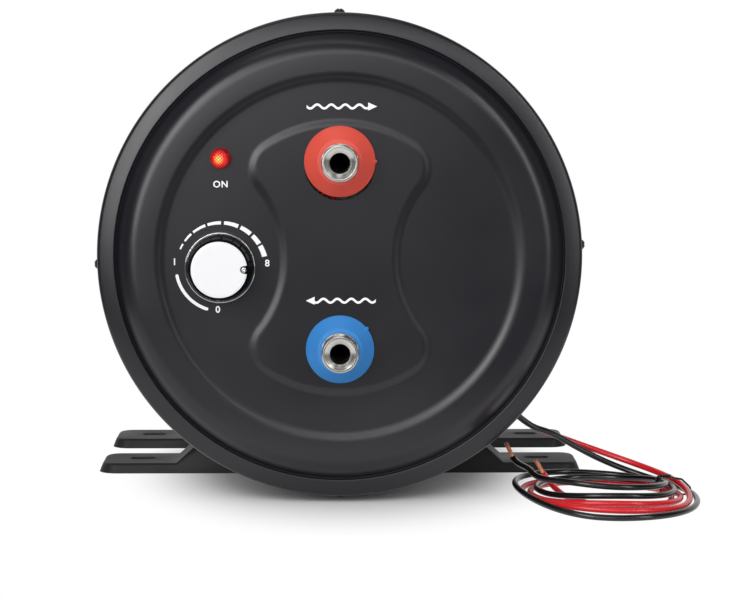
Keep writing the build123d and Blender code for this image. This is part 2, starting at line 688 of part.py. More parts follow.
def thermostat():
    """Capillary thermostat behind the panel, with its bracket, screws, shaft, terminals, bulb and pocket."""
    bracket_front = front_y(PANEL_BACK)
    body_front = bracket_front + BRACKET_SHEET
    body_rear = body_front + BODY_DEPTH
    top = KNOB_Z + BODY_TALL / 2
    bushing_end = front_y(PANEL_HEIGHT + BUSHING_STAND)
    screws_x = [KNOB_X - BODY_SCREW_X, KNOB_X + BODY_SCREW_X]
    screw_end = body_front + BODY_SCREW_TIP
    shaft_end = body_front + SHAFT_INSIDE
    shaft_tip = front_y(PANEL_HEIGHT + SHAFT_REACH)

    body = Pos(KNOB_X, (body_front + body_rear) / 2, KNOB_Z) * Box(BODY_WIDTH, BODY_DEPTH, BODY_TALL)
    body = fillet(body.edges().filter_by(Axis.Y), BODY_FILLET)
    body += rod(KNOB_X, KNOB_Z, bushing_end, body_front, BUSHING_R)
    body -= rod(KNOB_X, KNOB_Z, bushing_end, shaft_end, SHAFT_R + SHAFT_GAP)
    bracket = Box(BRACKET_WIDTH, BRACKET_SHEET, BRACKET_TALL)
    bracket = Pos(KNOB_X, (bracket_front + body_front) / 2, KNOB_Z) * bracket
    bracket -= rod(KNOB_X, KNOB_Z, bracket_front, body_front, BUSHING_R + BUSHING_GAP)
    screws = []
    for x in screws_x:
        panel = front_y(PANEL_HEIGHT)
        bracket -= rod(x, KNOB_Z, bracket_front, body_front, BODY_SCREW_R + THREAD_GAP)
        body -= rod(x, KNOB_Z, body_front, screw_end + BODY_SCREW_TIP, BODY_SCREW_R + SCREW_HOLE_GAP)
        shank = rod(x, KNOB_Z, panel, screw_end, BODY_SCREW_R)
        screws.append(shank + rod(x, KNOB_Z, panel - BODY_SCREW_HEAD, panel, BODY_SCREW_HEAD_R))
    shaft = rod(KNOB_X, KNOB_Z, shaft_tip, shaft_end, SHAFT_R)
    flat_start = front_y(PANEL_HEIGHT + BUSHING_STAND + HUB_STAND)
    flat = Box(2 * SHAFT_R, abs(shaft_tip - flat_start), 2 * SHAFT_R)
    shaft -= Pos(KNOB_X, (shaft_tip + flat_start) / 2, KNOB_Z + SHAFT_FLAT + SHAFT_R) * flat
    blade = Box(TERMINAL_WIDTH, TERMINAL_SHEET, TERMINAL_LENGTH)
    blades_y = body_front + TERMINAL_DEPTH
    blades = [Pos(x, blades_y, top + TERMINAL_LENGTH / 2) * blade for x in TERMINALS_X]

    mouth = TANK_FRONT - POCKET_STAND
    pocket_bore = BULB_R + POCKET_GAP
    pocket = rod(POCKET_X, POCKET_Z, mouth, mouth + POCKET_LENGTH, POCKET_R)
    pocket -= rod(POCKET_X, POCKET_Z, mouth, mouth + POCKET_LENGTH - POCKET_WALL, pocket_bore)
    bulb_end = mouth + POCKET_LENGTH - POCKET_WALL - POCKET_GAP
    bulb_start = bulb_end - BULB_LENGTH
    under = KNOB_Z - BODY_TALL / 2
    capillary = [
        (POCKET_X, bulb_start, POCKET_Z),
        (POCKET_X, blades_y, POCKET_Z),
        (KNOB_X, blades_y, POCKET_Z),
        (KNOB_X, blades_y, under),
    ]
    return {
        "thermostat_body": body,
        "thermostat_bracket": bracket,
        "thermostat_screws": screws,
        "thermostat_shaft": shaft,
        "thermostat_terminals": blades,
        "thermostat_capillary": wire_tube(capillary, CAPILLARY_BEND_R, CAPILLARY_R),
        "thermostat_bulb": rod(POCKET_X, POCKET_Z, bulb_start, bulb_end, BULB_R),
        "bulb_pocket": pocket,
    }


def knob():
    """Thermostat knob: body with a hub on the shaft, plated ring round its foot, white cap and pointer stud."""
    foot_h = PANEL_HEIGHT + KNOB_STAND
    face_h = foot_h + KNOB_HEIGHT
    seat_h = face_h - CAP_SEAT
    roof_h = seat_h - KNOB_FACE
    hub_h = PANEL_HEIGHT + BUSHING_STAND + HUB_STAND
    tip_h = PANEL_HEIGHT + SHAFT_REACH
    ring_h = foot_h + KNOB_RING
    ring_r = KNOB_R - KNOB_RING_WALL
    skirt_r = ring_r - KNOB_RING_GAP
    ring = raised([(ring_r, foot_h), (KNOB_R, foot_h), (KNOB_R, ring_h), (ring_r, ring_h)])
    ring_y = front_y(ring_h)
    brims = ring.edges().filter_by_position(Axis.Y, ring_y - TOUCH, ring_y + TOUCH)
    ring = fillet(brims.sort_by(SortBy.RADIUS)[-1], KNOB_RING_EDGE)
    body = raised([
        (skirt_r - KNOB_SKIRT_WALL, foot_h),
        (skirt_r, foot_h),
        (skirt_r, ring_h),
        (KNOB_TOP_R, face_h),
        (CAP_R + CAP_GAP, face_h),
        (CAP_R + CAP_GAP, seat_h),
        (0, seat_h),
        (0, hub_h),
        (HUB_R, hub_h),
        (HUB_R, roof_h),
        (KNOB_TOP_R - KNOB_WALL, roof_h),
    ])
    edge_y = front_y(face_h)
    rims = body.edges().filter_by_position(Axis.Y, edge_y - TOUCH, edge_y + TOUCH)
    body = fillet(rims.sort_by(SortBy.RADIUS)[-1], KNOB_EDGE)
    bore = rod(0, 0, front_y(hub_h), front_y(tip_h + SHAFT_GAP), SHAFT_R + SHAFT_GAP)
    flat = Box(3 * SHAFT_R, 2 * SHAFT_REACH, 2 * SHAFT_R)
    bore -= Pos(0, front_y(tip_h), SHAFT_FLAT + SHAFT_GAP + SHAFT_R) * flat
    cap = raised([(0, seat_h), (CAP_R, seat_h), (CAP_R, seat_h + CAP_HEIGHT), (0, seat_h + CAP_HEIGHT)])
    cap_y = front_y(seat_h + CAP_HEIGHT)
    notch = rod(POINTER_X, 0, front_y(seat_h), cap_y, NOTCH_R)
    mouth = Box(2 * NOTCH_R, CAP_HEIGHT, 2 * NOTCH_R)
    notch += Pos(POINTER_X + NOTCH_R, (front_y(seat_h) + cap_y) / 2, 0) * mouth
    cap = fillet(cap.edges().filter_by_position(Axis.Y, cap_y - TOUCH, cap_y + TOUCH), CAP_EDGE) - notch
    pointer = rod(POINTER_X, 0, front_y(seat_h), front_y(seat_h + POINTER_HEIGHT), POINTER_R)
    place = Pos(KNOB_X, 0, KNOB_Z)
    return {
        "knob_body": place * (body - bore),
        "knob_ring": place * ring,
        "knob_cap": place * cap,
        "knob_pointer": place * pointer,
    }


def indicator():
    """Indicator lamp: domed lens, threaded body, nut behind the panel and two pins."""
    dome_r = (LENS_R**2 + LENS_HEIGHT**2) / (2 * LENS_HEIGHT)
    base = front_y(PANEL_HEIGHT)
    rim = base - LENS_RIM
    dome = Pos(LAMP_X, rim - LENS_HEIGHT + dome_r, LAMP_Z) * Sphere(dome_r)
    dome &= rod(LAMP_X, LAMP_Z, rim, rim - LENS_HEIGHT, LENS_R)
    lens = dome + rod(LAMP_X, LAMP_Z, base, rim, LENS_R)
    rear = base + LAMP_BODY_LENGTH
    nut_front = front_y(PANEL_BACK)
    nut = hexagon(LAMP_X, LAMP_Z, nut_front, nut_front + LAMP_NUT, LAMP_NUT_FLATS)
    pins = [rod(LAMP_X + side * LAMP_PIN_HALF, LAMP_Z, rear, rear + LAMP_PIN, LAMP_PIN_R) for side in (-1, 1)]
    return {
        "indicator_lens": lens,
        "indicator_body": rod(LAMP_X, LAMP_Z, base, rear, LAMP_BODY_R),
        "indicator_nut": nut - rod(LAMP_X, LAMP_Z, nut_front, nut_front + LAMP_NUT, LAMP_BODY_R + THREAD_GAP),
        "indicator_pins": pins,
    }


def cutout():
    """Thermal cut-out on the tank's head under a strap with two nuts."""
    seat = TANK_FRONT - CUTOUT_SEAT
    rim = seat - CUTOUT_RIM
    cap = rim - CUTOUT_CAP
    body = rod(0, TANK_LIFT, rim, seat, CUTOUT_R) + rod(0, TANK_LIFT, cap, rim, CUTOUT_CAP_R)
    strap = Pos(0, rim - STRAP_SHEET / 2, TANK_LIFT) * Box(2 * STRAP_HALF, STRAP_SHEET, STRAP_WIDTH)
    strap -= rod(0, TANK_LIFT, rim - STRAP_SHEET, rim, CUTOUT_CAP_R + STRAP_GAP)
    nuts = []
    for side in (-1, 1):
        x = side * STRAP_STUD_X
        strap -= rod(x, TANK_LIFT, rim - STRAP_SHEET, rim, STRAP_STUD_R + STRAP_GAP)
        nut = hexagon(x, TANK_LIFT, STRAP_TOP - STRAP_NUT, STRAP_TOP, STRAP_NUT_FLATS)
        nuts.append(nut - rod(x, TANK_LIFT, STRAP_TOP - STRAP_NUT, STRAP_TOP, STRAP_STUD_R + THREAD_GAP))
    pins = [rod(x, TANK_LIFT, cap - CUTOUT_TERMINAL, cap, CUTOUT_TERMINAL_R) for x in CUTOUT_PINS_X]
    return {"cutout_body": body, "cutout_strap": strap, "cutout_nuts": nuts, "cutout_terminals": pins}


def on_grommet(radius, y):
    """Point on the line of a lead through the grommet, at a distance from the drum's axis."""
    angle = math.radians(GROMMET_ANGLE)
    return (radius * math.cos(angle), y, radius * math.sin(angle))


def inner_leads():
    """Wiring between grommet, thermostat, cut-out, heater and lamp."""
    left_x, right_x = TERMINALS_X
    blades_y = front_y(PANEL_BACK - BRACKET_SHEET - TERMINAL_DEPTH)
    body_top = KNOB_Z + BODY_TALL / 2
    blade_top = body_top + TERMINAL_LENGTH
    over = blade_top + WIRE_LOOP
    pins_y = STRAP_TOP + STRAP_SHEET - CUTOUT_CAP - CUTOUT_TERMINAL
    studs_y = TANK_FRONT - BOSS_FRONT - GASKET - HEATER_HEX - STUD_LENGTH
    studs_x = (HEATER_X - ELEMENT_HALF, HEATER_X + ELEMENT_HALF)
    loom_y = front_y(-LOOM_SETBACK)
    lamp_end = front_y(PANEL_HEIGHT - LAMP_BODY_LENGTH - LAMP_PIN)
    lamp_back = lamp_end + WIRE_LOOP
    side_z = body_top + TERMINAL_LENGTH / 2
    return_y = studs_y + STUD_LENGTH / 2
    first_pin, second_pin = CUTOUT_PINS_X
    routes = {
        "link_lead": [
            (right_x, blades_y, blade_top),
            (right_x, blades_y, over),
            (first_pin, pins_y - WIRE_LOOP, HOT_Z - PIPE_R - LINK_CLEAR),
            (first_pin, pins_y - WIRE_LOOP, TANK_LIFT),
            (first_pin, pins_y, TANK_LIFT),
        ],
        "heater_lead": [
            (second_pin, pins_y, TANK_LIFT),
            (second_pin, pins_y - WIRE_LOOP, TANK_LIFT),
            (studs_x[0], studs_y - WIRE_LOOP, HEATER_Z),
            (studs_x[0], studs_y, HEATER_Z),
        ],
        "lamp_live_lead": [
            (LAMP_X + LAMP_PIN_HALF, lamp_end, LAMP_Z),
            (LAMP_X + LAMP_PIN_HALF, lamp_back, LAMP_Z),
            (right_x, lamp_back, side_z),
            (right_x, blades_y + TERMINAL_SHEET / 2, side_z),
        ],
        "lamp_return_lead": [
            (LAMP_X - LAMP_PIN_HALF, lamp_end, LAMP_Z),
            (LAMP_X - LAMP_PIN_HALF, lamp_back, LAMP_Z),
            (-LOOM_X, loom_y, LOOM_Z),
            (LOOM_X, loom_y, LOOM_Z),
            (LOOM_SIDE_X, loom_y, 0),
            (studs_x[1] + STUD_R + WIRE_LOOP, return_y, HEATER_Z),
            (studs_x[1] + STUD_R, return_y, HEATER_Z),
        ],
    }
    leads = {name: wire_tube(points, WIRE_BEND_R, INNER_WIRE_R) for name, points in routes.items()}
    leads["supply_red_lead"] = wire_tube([
        on_grommet(LEAD_EXIT_R, RED_Y),
        on_grommet(LOOM_TURN_R, RED_Y),
        (LOOM_X, loom_y, -LOOM_Z),
        (-LOOM_X, loom_y, -LOOM_Z),
        (-LOOM_SIDE_X, loom_y, -LOOM_Z / 2),
        (-LOOM_SIDE_X, blades_y, over),
        (left_x, blades_y, over),
        (left_x, blades_y, blade_top),
    ], WIRE_BEND_R, WIRE_R)
    leads["supply_black_lead"] = wire_tube([
        (studs_x[1], studs_y, HEATER_Z),
        (studs_x[1], studs_y - WIRE_LOOP, HEATER_Z),
        (LOOM_SIDE_X, loom_y - WIRE_LOOP / 2, HEATER_Z - BOSS_R),
        on_grommet(LOOM_TURN_R, BLACK_Y),
        on_grommet(LEAD_EXIT_R, BLACK_Y),
    ], WIRE_BEND_R, WIRE_R)
    return leads


def eased(turn, span):
    """Smooth step from 0 to 1 over a span of turn."""
    share = min(max((turn - span[0]) / (span[1] - span[0]), 0.0), 1.0)
    return share**2 * (3 - 2 * share)


def landing(turn, drop, lands):
    """Height above the lowest layer of a lead that comes down on to the floor."""
    return drop * max(0.0, (lands - turn) / (lands - COIL_START)) ** 2


def rising(turn, rise, start, end):
    """Height that a lead gains towards its end."""
    return rise * max(0.0, (turn - start) / (end - start)) ** 2


def coil_point(turn, aside, height):
    """Point of the coil's loops, at a distance outside the middle of the pair, over the lowest layer."""
    loops = turn / 360
    angle = math.radians(turn)
    left = (1 - math.cos(angle)) / 2
    half_x = COIL_HALF_X - LOOP_STEP_X * loops + aside
    half_y = COIL_HALF_Y - LOOP_STEP_Y * loops + aside
    right = COIL_RIGHT - LOOP_STEP_X * loops + aside
    middle_y = COIL_MIDDLE_Y + LOOP_DRIFT_Y * loops + COIL_SKEW * left
    near_tie = max(0.0, math.cos(angle - math.radians(TIE_ANGLE)))
    lift = WIRE_R + COIL_BASE + (TIE_SHEET + TIE_CLEAR) * near_tie**TIE_REACH
    return Vector(right - 2 * half_x * left, middle_y - half_y * math.sin(angle), height + lift)


def red_point(turn):
    """Red lead: one flat spiral on the floor, tucked inwards at its end."""
    aside = -PAIR_PITCH / 2 - RED_TUCK * eased(turn, RED_TUCK_SPAN)
    height = landing(turn, RED_DROP, RED_LANDS) + rising(turn, RED_RISE, RED_RISE_FROM, RED_COIL_END)
    return coil_point(turn, aside, height)


def black_point(turn):
    """Black lead: under the red one to its outer side, over it after half a turn, at last over itself."""
    aside = PAIR_PITCH / 2 - BLACK_UNDER * (1 - eased(turn, BLACK_UNDER_SPAN))
    aside -= BLACK_TUCK * (eased(turn, BLACK_TUCK_SPAN) - eased(turn, BLACK_SPREAD_SPAN))
    height = LAYER * (eased(turn, BLACK_CLIMB_SPAN) + eased(turn, BLACK_TOP_SPAN))
    height += landing(turn, BLACK_DROP, BLACK_LANDS)
    height += rising(turn, BLACK_RISE, BLACK_RISE_FROM, BLACK_COIL_END)
    return coil_point(turn, aside, height)


def heading(point, turn):
    """Direction of a lead's loops at a turn."""
    return (point(turn + TOUCH) - point(turn - TOUCH)).normalized()


def biarc(start, start_way, end, end_way):
    """Two tangent arcs between two points with given directions."""
    chord = end - start
    ways = start_way + end_way
    spread = 2 * (1 - start_way.dot(end_way))
    reach = chord.dot(ways)
    arm = (math.sqrt(reach**2 + spread * chord.dot(chord)) - reach) / spread
    joint = (start + end + (start_way - end_way) * arm) / 2
    first = TangentArc(start, joint, tangent=start_way)
    return [first, TangentArc(joint, end, tangent=first % 1)]


def coil_path(point, end_turn, tip, tip_way):
    """Path of a lead's loops: straight for a diameter, biarcs of up to a quarter turn, and a straight end."""
    turns = [*np.arange(COIL_START, end_turn, QUARTER_TURN), end_turn]
    stops = [(point(turn), heading(point, turn)) for turn in turns]
    stops.append((Vector(*tip), Vector(*tip_way).normalized()))
    edges = [Line(coil_start(point), stops[0][0])]
    for (start, start_way), (end, end_way) in zip(stops, stops[1:]):
        edges += biarc(start, start_way, end, end_way)
    edges.append(Line(stops[-1][0], stops[-1][0] + stops[-1][1] * 2 * WIRE_R))
    return Wire(edges)


def coil_start(point):
    """Place where a lead's free stretch meets its loops."""
    return point(COIL_START) - heading(point, COIL_START) * 2 * WIRE_R


def lead_points(lead_y, point):
    """Corners of a free stretch, straight out of the grommet and straight into the coil."""
    outwards = [Vector(*on_grommet(radius, lead_y)) for radius in (LEAD_EXIT_R, LEAD_TURN_R)]
    joint = coil_start(point)
    run_in = joint - heading(point, COIL_START) * LEAD_RUN_IN
    return [place + DRUM_PLACE.position for place in outwards] + [run_in, joint]


def least_gap(path, other=None):
    """Least clear gap of a tube to itself, or to another, measured on points along their paths."""
    steps = math.ceil(path.length / WIRE_R)
    here = np.array([tuple(path @ (step / steps)) for step in range(steps + 1)])
    if other is None:
        there = here
    else:
        there = np.array([tuple(other @ (step / steps)) for step in range(steps + 1)])
    apart = np.linalg.norm(here[:, None] - there[None], axis=2)
    if other is None:
        index = np.arange(len(here))
        apart[np.abs(index[:, None] - index[None]) * path.length / steps < 6 * WIRE_R] = np.inf
    return apart.min() - 2 * WIRE_R


def lead_radii(points):
    """Bend radius at each corner of a free stretch: as large as its two runs allow."""
    radii = []
    for before, here, after in zip(points, points[1:], points[2:]):
        turn = math.radians((here - before).get_angle(after - here))
        radii.append(BEND_SHARE * min((here - before).length, (after - here).length) / math.tan(turn / 2))
    return radii


def outer_lead(name, lead_y, point, end_turn, tip, tip_way):
    """Free stretch, coil and bared end of one lead on the floor."""
    points = lead_points(lead_y, point)
    radii = lead_radii(points)
    run = FilletPolyline(*points, radius=radii)
    coil = coil_path(point, end_turn, tip, tip_way)
    tube = sweep(Plane(run @ 0, z_dir=run % 0) * Circle(WIRE_R), run)
    loops = sweep(Plane(coil @ 0, z_dir=coil % 0) * Circle(WIRE_R), coil)
    bare = Pos(0, 0, STRIPPED_LENGTH / 2) * Cylinder(STRIPPED_R, STRIPPED_LENGTH)
    bare = Plane(coil @ 1, z_dir=coil % 1) * bare
    area = math.pi * WIRE_R**2
    print(name, "run radii", np.round(radii, 1), "length", round(run.length + coil.length, 1))
    print(name, "volume over section x length", round(tube.volume / area / run.length, 4),
          round(loops.volume / area / coil.length, 4), "least gap", round(least_gap(coil), 2))
    return coil, {f"{name}_lead": tube, f"{name}_coil": loops, f"{name}_bare_end": bare}


def coil_tie():
    """Wire tie round the bundle of loops: a flat band with rounded corners."""
    turns = [TIE_ANGLE + 360 * loop for loop in range(3)]
    places = [point(turn) for point in (red_point, black_point) for turn in turns]
    along = heading(red_point, turns[1])
    across = Vector(along.Y, -along.X, 0).normalized()
    middle = sum(places, Vector()) / len(places)
    reach = [(place - middle).dot(across) for place in places]
    heights = [place.Z for place in places]
    wide = max(reach) - min(reach) + 2 * (WIRE_R + TIE_CLEAR)
    tall = max(heights) - min(heights) + 2 * (WIRE_R + TIE_CLEAR)
    centre = middle + across * (max(reach) + min(reach)) / 2
    centre = Vector(centre.X, centre.Y, (max(heights) + min(heights)) / 2)
    inside = RectangleRounded(wide, tall, WIRE_R)
    outside = RectangleRounded(wide + 2 * TIE_SHEET, tall + 2 * TIE_SHEET, WIRE_R + TIE_SHEET)
    flat = Vector(along.X, along.Y, 0).normalized()
    return extrude(Plane(centre, x_dir=across, z_dir=flat) * (outside - inside), TIE_WIDTH / 2, both=True)


def drum_nodes():
    """Everything that is modelled about the drum's axis."""
    nodes = {
        "outer_shell": outer_shell(),
        "front_cover": front_cover(),
        "rear_cover": rear_cover(),
        "front_cover_screws": cover_screws(FRONT_SCREW_ANGLES, front_y(-SCREW_EDGE)),
        "rear_cover_screws": cover_screws(REAR_SCREW_ANGLES, -front_y(-SCREW_EDGE)),
        "cable_grommet": cable_grommet(),
        "tank_barrel": pipe(0, TANK_LIFT, *TANK_SEAMS, TANK_R, TANK_R - TANK_WALL),
        "tank_front_head": tank_front_head(),
        "tank_rear_head": Pos(0, 0, TANK_LIFT) * mirror(head_shell(), TANK_MIDDLE),
        "hot_outlet_nipple": nipple(HOT_Z),
        "cold_inlet_nipple": nipple(COLD_Z),
        "hot_outlet_collar": collar(HOT_Z, HOT_TAB_ANGLE),
        "cold_inlet_collar": collar(COLD_Z, COLD_TAB_ANGLE),
        "hot_dip_tube": inner_tube(HOT_Z, HOT_TUBE_RUN, HOT_TUBE_RISE),
        "cold_inlet_tube": inner_tube(COLD_Z, COLD_TUBE_RUN, -COLD_TUBE_DROP),
    }
    for assembly in (insulation, heater, thermostat, knob, indicator, cutout, inner_leads):
        nodes.update(assembly())
    return nodes


def floor_nodes():
    """Feet and the leads that lie on the floor."""
    nodes = {"front_foot": foot(-FOOT_PITCH / 2), "rear_foot": foot(FOOT_PITCH / 2), "coil_tie": coil_tie()}
    red, red_nodes = outer_lead("red", RED_Y, red_point, RED_COIL_END, RED_TIP, RED_TIP_WAY)
    black, black_nodes = outer_lead(
        "black", BLACK_Y, black_point, BLACK_COIL_END, BLACK_TIP, BLACK_TIP_WAY)
    print("least gap between the two coils", round(least_gap(red, black), 2))
    return nodes | red_nodes | black_nodes


def write(name, shape, place):
    """Write one node, a solid or a list of solids, as parts/NAME.step."""
    solids = shape if isinstance(shape, list) else [shape]
    placed = [place * solid for piece in solids for solid in piece.solids()]
    export_step(placed[0] if len(placed) == 1 else Compound(children=placed), f"parts/{name}.step")


os.makedirs("parts", exist_ok=True)
for node, shape in drum_nodes().items():
    write(node, shape, DRUM_PLACE)
for node, shape in floor_nodes().items():
    write(node, shape, Pos(0, 0, 0))
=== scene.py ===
"""Looks of a drum-shaped water heater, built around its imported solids.

Sizes are millimetres in the frame of the solids: X to the right, Y away from the control panel, Z up,
floor at Z = 0. A mesh turns them to metres when it is made.
"""
import json
import logging
import math
from abc import ABC, abstractmethod
from dataclasses import dataclass, field
from enum import Enum
from typing import Any, Callable

import bmesh
import bpy
import numpy as np
from bpy.types import ID, Material, Mesh, Node, NodeSocket, NodeTree, Object, World
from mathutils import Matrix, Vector

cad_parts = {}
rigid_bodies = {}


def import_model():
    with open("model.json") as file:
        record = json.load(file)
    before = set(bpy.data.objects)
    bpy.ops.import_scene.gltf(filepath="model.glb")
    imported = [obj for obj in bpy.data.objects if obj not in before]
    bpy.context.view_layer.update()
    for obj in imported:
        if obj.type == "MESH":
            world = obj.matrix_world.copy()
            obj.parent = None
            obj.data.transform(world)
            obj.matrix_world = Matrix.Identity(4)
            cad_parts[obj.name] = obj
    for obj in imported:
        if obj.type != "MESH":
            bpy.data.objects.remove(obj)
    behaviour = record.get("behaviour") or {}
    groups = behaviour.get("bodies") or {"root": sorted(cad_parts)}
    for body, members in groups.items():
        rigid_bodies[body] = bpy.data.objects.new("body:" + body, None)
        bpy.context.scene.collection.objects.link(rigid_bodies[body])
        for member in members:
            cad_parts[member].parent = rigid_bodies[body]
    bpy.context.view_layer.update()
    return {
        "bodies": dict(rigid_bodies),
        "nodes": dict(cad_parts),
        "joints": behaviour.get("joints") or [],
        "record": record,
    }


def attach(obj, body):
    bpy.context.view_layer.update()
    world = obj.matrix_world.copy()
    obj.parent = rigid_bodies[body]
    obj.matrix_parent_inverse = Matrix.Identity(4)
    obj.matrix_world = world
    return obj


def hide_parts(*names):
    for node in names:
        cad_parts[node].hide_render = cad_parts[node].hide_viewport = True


Array = np.ndarray
Pair = tuple[float, float]
Triple = tuple[float, float, float]
# Points in millimetres, and the point numbers of each face
Grid = tuple[Array, Array]
# New radii from a grid of angles and a profile's rows
Ripple = Callable[[Array, Array], Array]

LOG = logging.getLogger("water_heater")
MM = 0.001
WHITE = (1.0, 1.0, 1.0, 1.0)

# Drum: middle of its axis, length and radius of the shell, thickness of the sheet, and heights of the front
# cover's panel and hourglass above the shell's end
DRUM_MIDDLE = np.array([0.0, 12.35, 144.0])
SHELL_LENGTH = 340.0
SHELL_R = 138.8
SHEET = 1.0
PANEL_HEIGHT = 11.5
PLATEAU_HEIGHT = 12.5
# X and Z of the thermostat's dial
DIAL = (-68.5, 138.8)
# Radius of a lead, and the turn in degrees at which it joins its loops
WIRE_R = 1.8
LEAD_START = -105.0
# Distances in metres below which points are one: in meshes made here, and in copies of solids
SAME_POINT = 1e-7
SAME_CORNER = 1e-6
SMOOTH_ANGLE = math.radians(32)
# Mesh attribute of a turned piece: radius, place along its axis, and a slow wave round it
LATHE = "lathe"
# Values between which most of a noise lies
NOISE_SPAN = (0.3, 0.7)
# Sockets of a colour mix, by number because their names repeat
MIX_SHARE, MIX_FIRST, MIX_SECOND, MIX_RESULT = 0, 6, 7, 2


class Body(Enum):
    """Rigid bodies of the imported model."""

    HEATER = "heater"
    KNOB = "knob"


def to_linear(colour: str) -> tuple[float, float, float, float]:
    """Linear colour of an sRGB hex value.

    Args:
        colour: six hex digits after a hash sign.

    Returns:
        Red, green, blue and alpha.
    """
    srgb = np.array([int(colour[place:place + 2], 16) for place in (1, 3, 5)]) / 255
    linear = np.where(srgb <= 0.04045, srgb / 12.92, ((srgb + 0.055) / 1.055) ** 2.4)
    return (*linear.tolist(), 1.0)


def empty_tree(owner: Material | World) -> NodeTree:
    """Node tree of a material or world, without its first nodes."""
    owner.use_nodes = True
    owner.node_tree.nodes.clear()
    return owner.node_tree


def add_node(tree: NodeTree, kind: str, settings: dict[Any, Any] | None = None,
             links: dict[Any, NodeSocket] | None = None) -> Node:
    """Add one node with its settings and links.

    Args:
        tree: node tree that gets the node.
        kind: type name of the node.
        settings: values by input name or number, or by attribute name.
        links: output sockets by input name or number.

    Returns:
        The new node.
    """
    node = tree.nodes.new(kind)
    for key, value in (settings or {}).items():
        if isinstance(key, int) or key in node.inputs:
            node.inputs[key].default_value = value
        else:
            setattr(node, key, value)
    for key, socket in (links or {}).items():
        tree.links.new(socket, node.inputs[key])
    return node


# Finishes

@dataclass(frozen=True)
class Finish(ABC):
    """One material: its name, sRGB colour and the plain values of its shader."""

    name: str
    colour: str
    roughness: float
    metallic: float = 0.0
    ior: float = 1.5
    specular: float = 0.5

    def material(self) -> Material:
        """Material of this finish, made once."""
        made = bpy.data.materials.get(self.name)
        if made is not None:
            return made
        made = bpy.data.materials.new(self.name)
        tree = empty_tree(made)
        shader = add_node(tree, "ShaderNodeBsdfPrincipled", {
            "Base Color": to_linear(self.colour), "Roughness": self.roughness, "Metallic": self.metallic,
            "IOR": self.ior, "Specular IOR Level": self.specular})
        add_node(tree, "ShaderNodeOutputMaterial", links={"Surface": shader.outputs[0]})
        self.dress(tree, shader)
        return made

    @abstractmethod
    def dress(self, tree: NodeTree, shader: Node) -> None:
        """Add the surface's pattern to the shader."""


@dataclass(frozen=True)
class Patterned(Finish):
    """Finish with one noise in its colour and roughness, and one in its height.

    depth is the height of the noise; tone and spread are the shares by which colour and roughness vary.
    """

    depth: float = 0.02
    tone: float = 0.08
    spread: float = 0.12

    def shaded(self, share: float) -> tuple[float, float, float, float]:
        """Linear colour of the finish, lighter or darker by a share."""
        colour = np.clip(np.array(to_linear(self.colour)) * (1 + share), 0, 1)
        return (*colour[:3].tolist(), 1.0)

    def vary(self, tree: NodeTree, shader: Node, cloud: Node, grain: Node) -> None:
        """Lead two noises into the shader.

        Args:
            tree: node tree of the material.
            shader: shader that they vary.
            cloud: noise of colour and roughness.
            grain: noise of height.
        """
        share = cloud.outputs["Fac"]
        tones = add_node(tree, "ShaderNodeMix", {
            "data_type": "RGBA", MIX_FIRST: self.shaded(-self.tone), MIX_SECOND: self.shaded(self.tone)},
            {MIX_SHARE: share})
        gloss = add_node(tree, "ShaderNodeMapRange", {
            "From Min": NOISE_SPAN[0], "From Max": NOISE_SPAN[1],
            "To Min": self.roughness * (1 - self.spread), "To Max": self.roughness * (1 + self.spread)},
            {"Value": share})
        bump = add_node(tree, "ShaderNodeBump", {"Strength": 1.0, "Distance": self.depth * MM},
                        {"Height": grain.outputs["Fac"]})
        for name, socket in (("Base Color", tones.outputs[MIX_RESULT]),
                             ("Roughness", gloss.outputs["Result"]), ("Normal", bump.outputs["Normal"])):
            tree.links.new(socket, shader.inputs[name])


@dataclass(frozen=True)
class Grained(Patterned):
    """Paint, moulded plastic, rubber or foam: grain and cloud are the feature sizes of its two noises."""

    grain: float = 0.9
    cloud: float = 35.0

    def dress(self, tree: NodeTree, shader: Node) -> None:
        """Clouds vary colour and roughness, and grain lifts the surface."""
        place = {"Vector": add_node(tree, "ShaderNodeTexCoord").outputs["Object"]}
        cloud, grain = [
            add_node(tree, "ShaderNodeTexNoise", {"Scale": 1 / (size * MM), "Detail": detail}, place)
            for size, detail in ((self.cloud, 4.0), (self.grain, 2.0))]
        self.vary(tree, shader, cloud, grain)


@dataclass(frozen=True)
class Drawn(Patterned):
    """Metal with marks drawn out in one direction: turned, brushed, rolled or plated.

    marks are the sizes of one mark along X, Y and Z, or on a lathe-turned piece along its radius, its axis
    and once round it.
    """

    metallic: float = 1.0
    depth: float = 0.004
    spread: float = 0.25
    marks: Triple = (1.0, 1.0, 1.0)
    lathe: bool = False

    def dress(self, tree: NodeTree, shader: Node) -> None:
        """Stretched noise varies colour, roughness and height together."""
        if self.lathe:
            place = add_node(tree, "ShaderNodeAttribute", {"attribute_name": LATHE}).outputs["Vector"]
        else:
            place = add_node(tree, "ShaderNodeTexCoord").outputs["Object"]
        scale = tuple(1 / (size * MM) for size in self.marks)
        drawn = add_node(tree, "ShaderNodeMapping", {"Scale": scale}, {"Vector": place})
        marks = add_node(tree, "ShaderNodeTexNoise", {"Scale": 1.0, "Detail": 3.0},
                         {"Vector": drawn.outputs["Vector"]})
        self.vary(tree, shader, marks, marks)


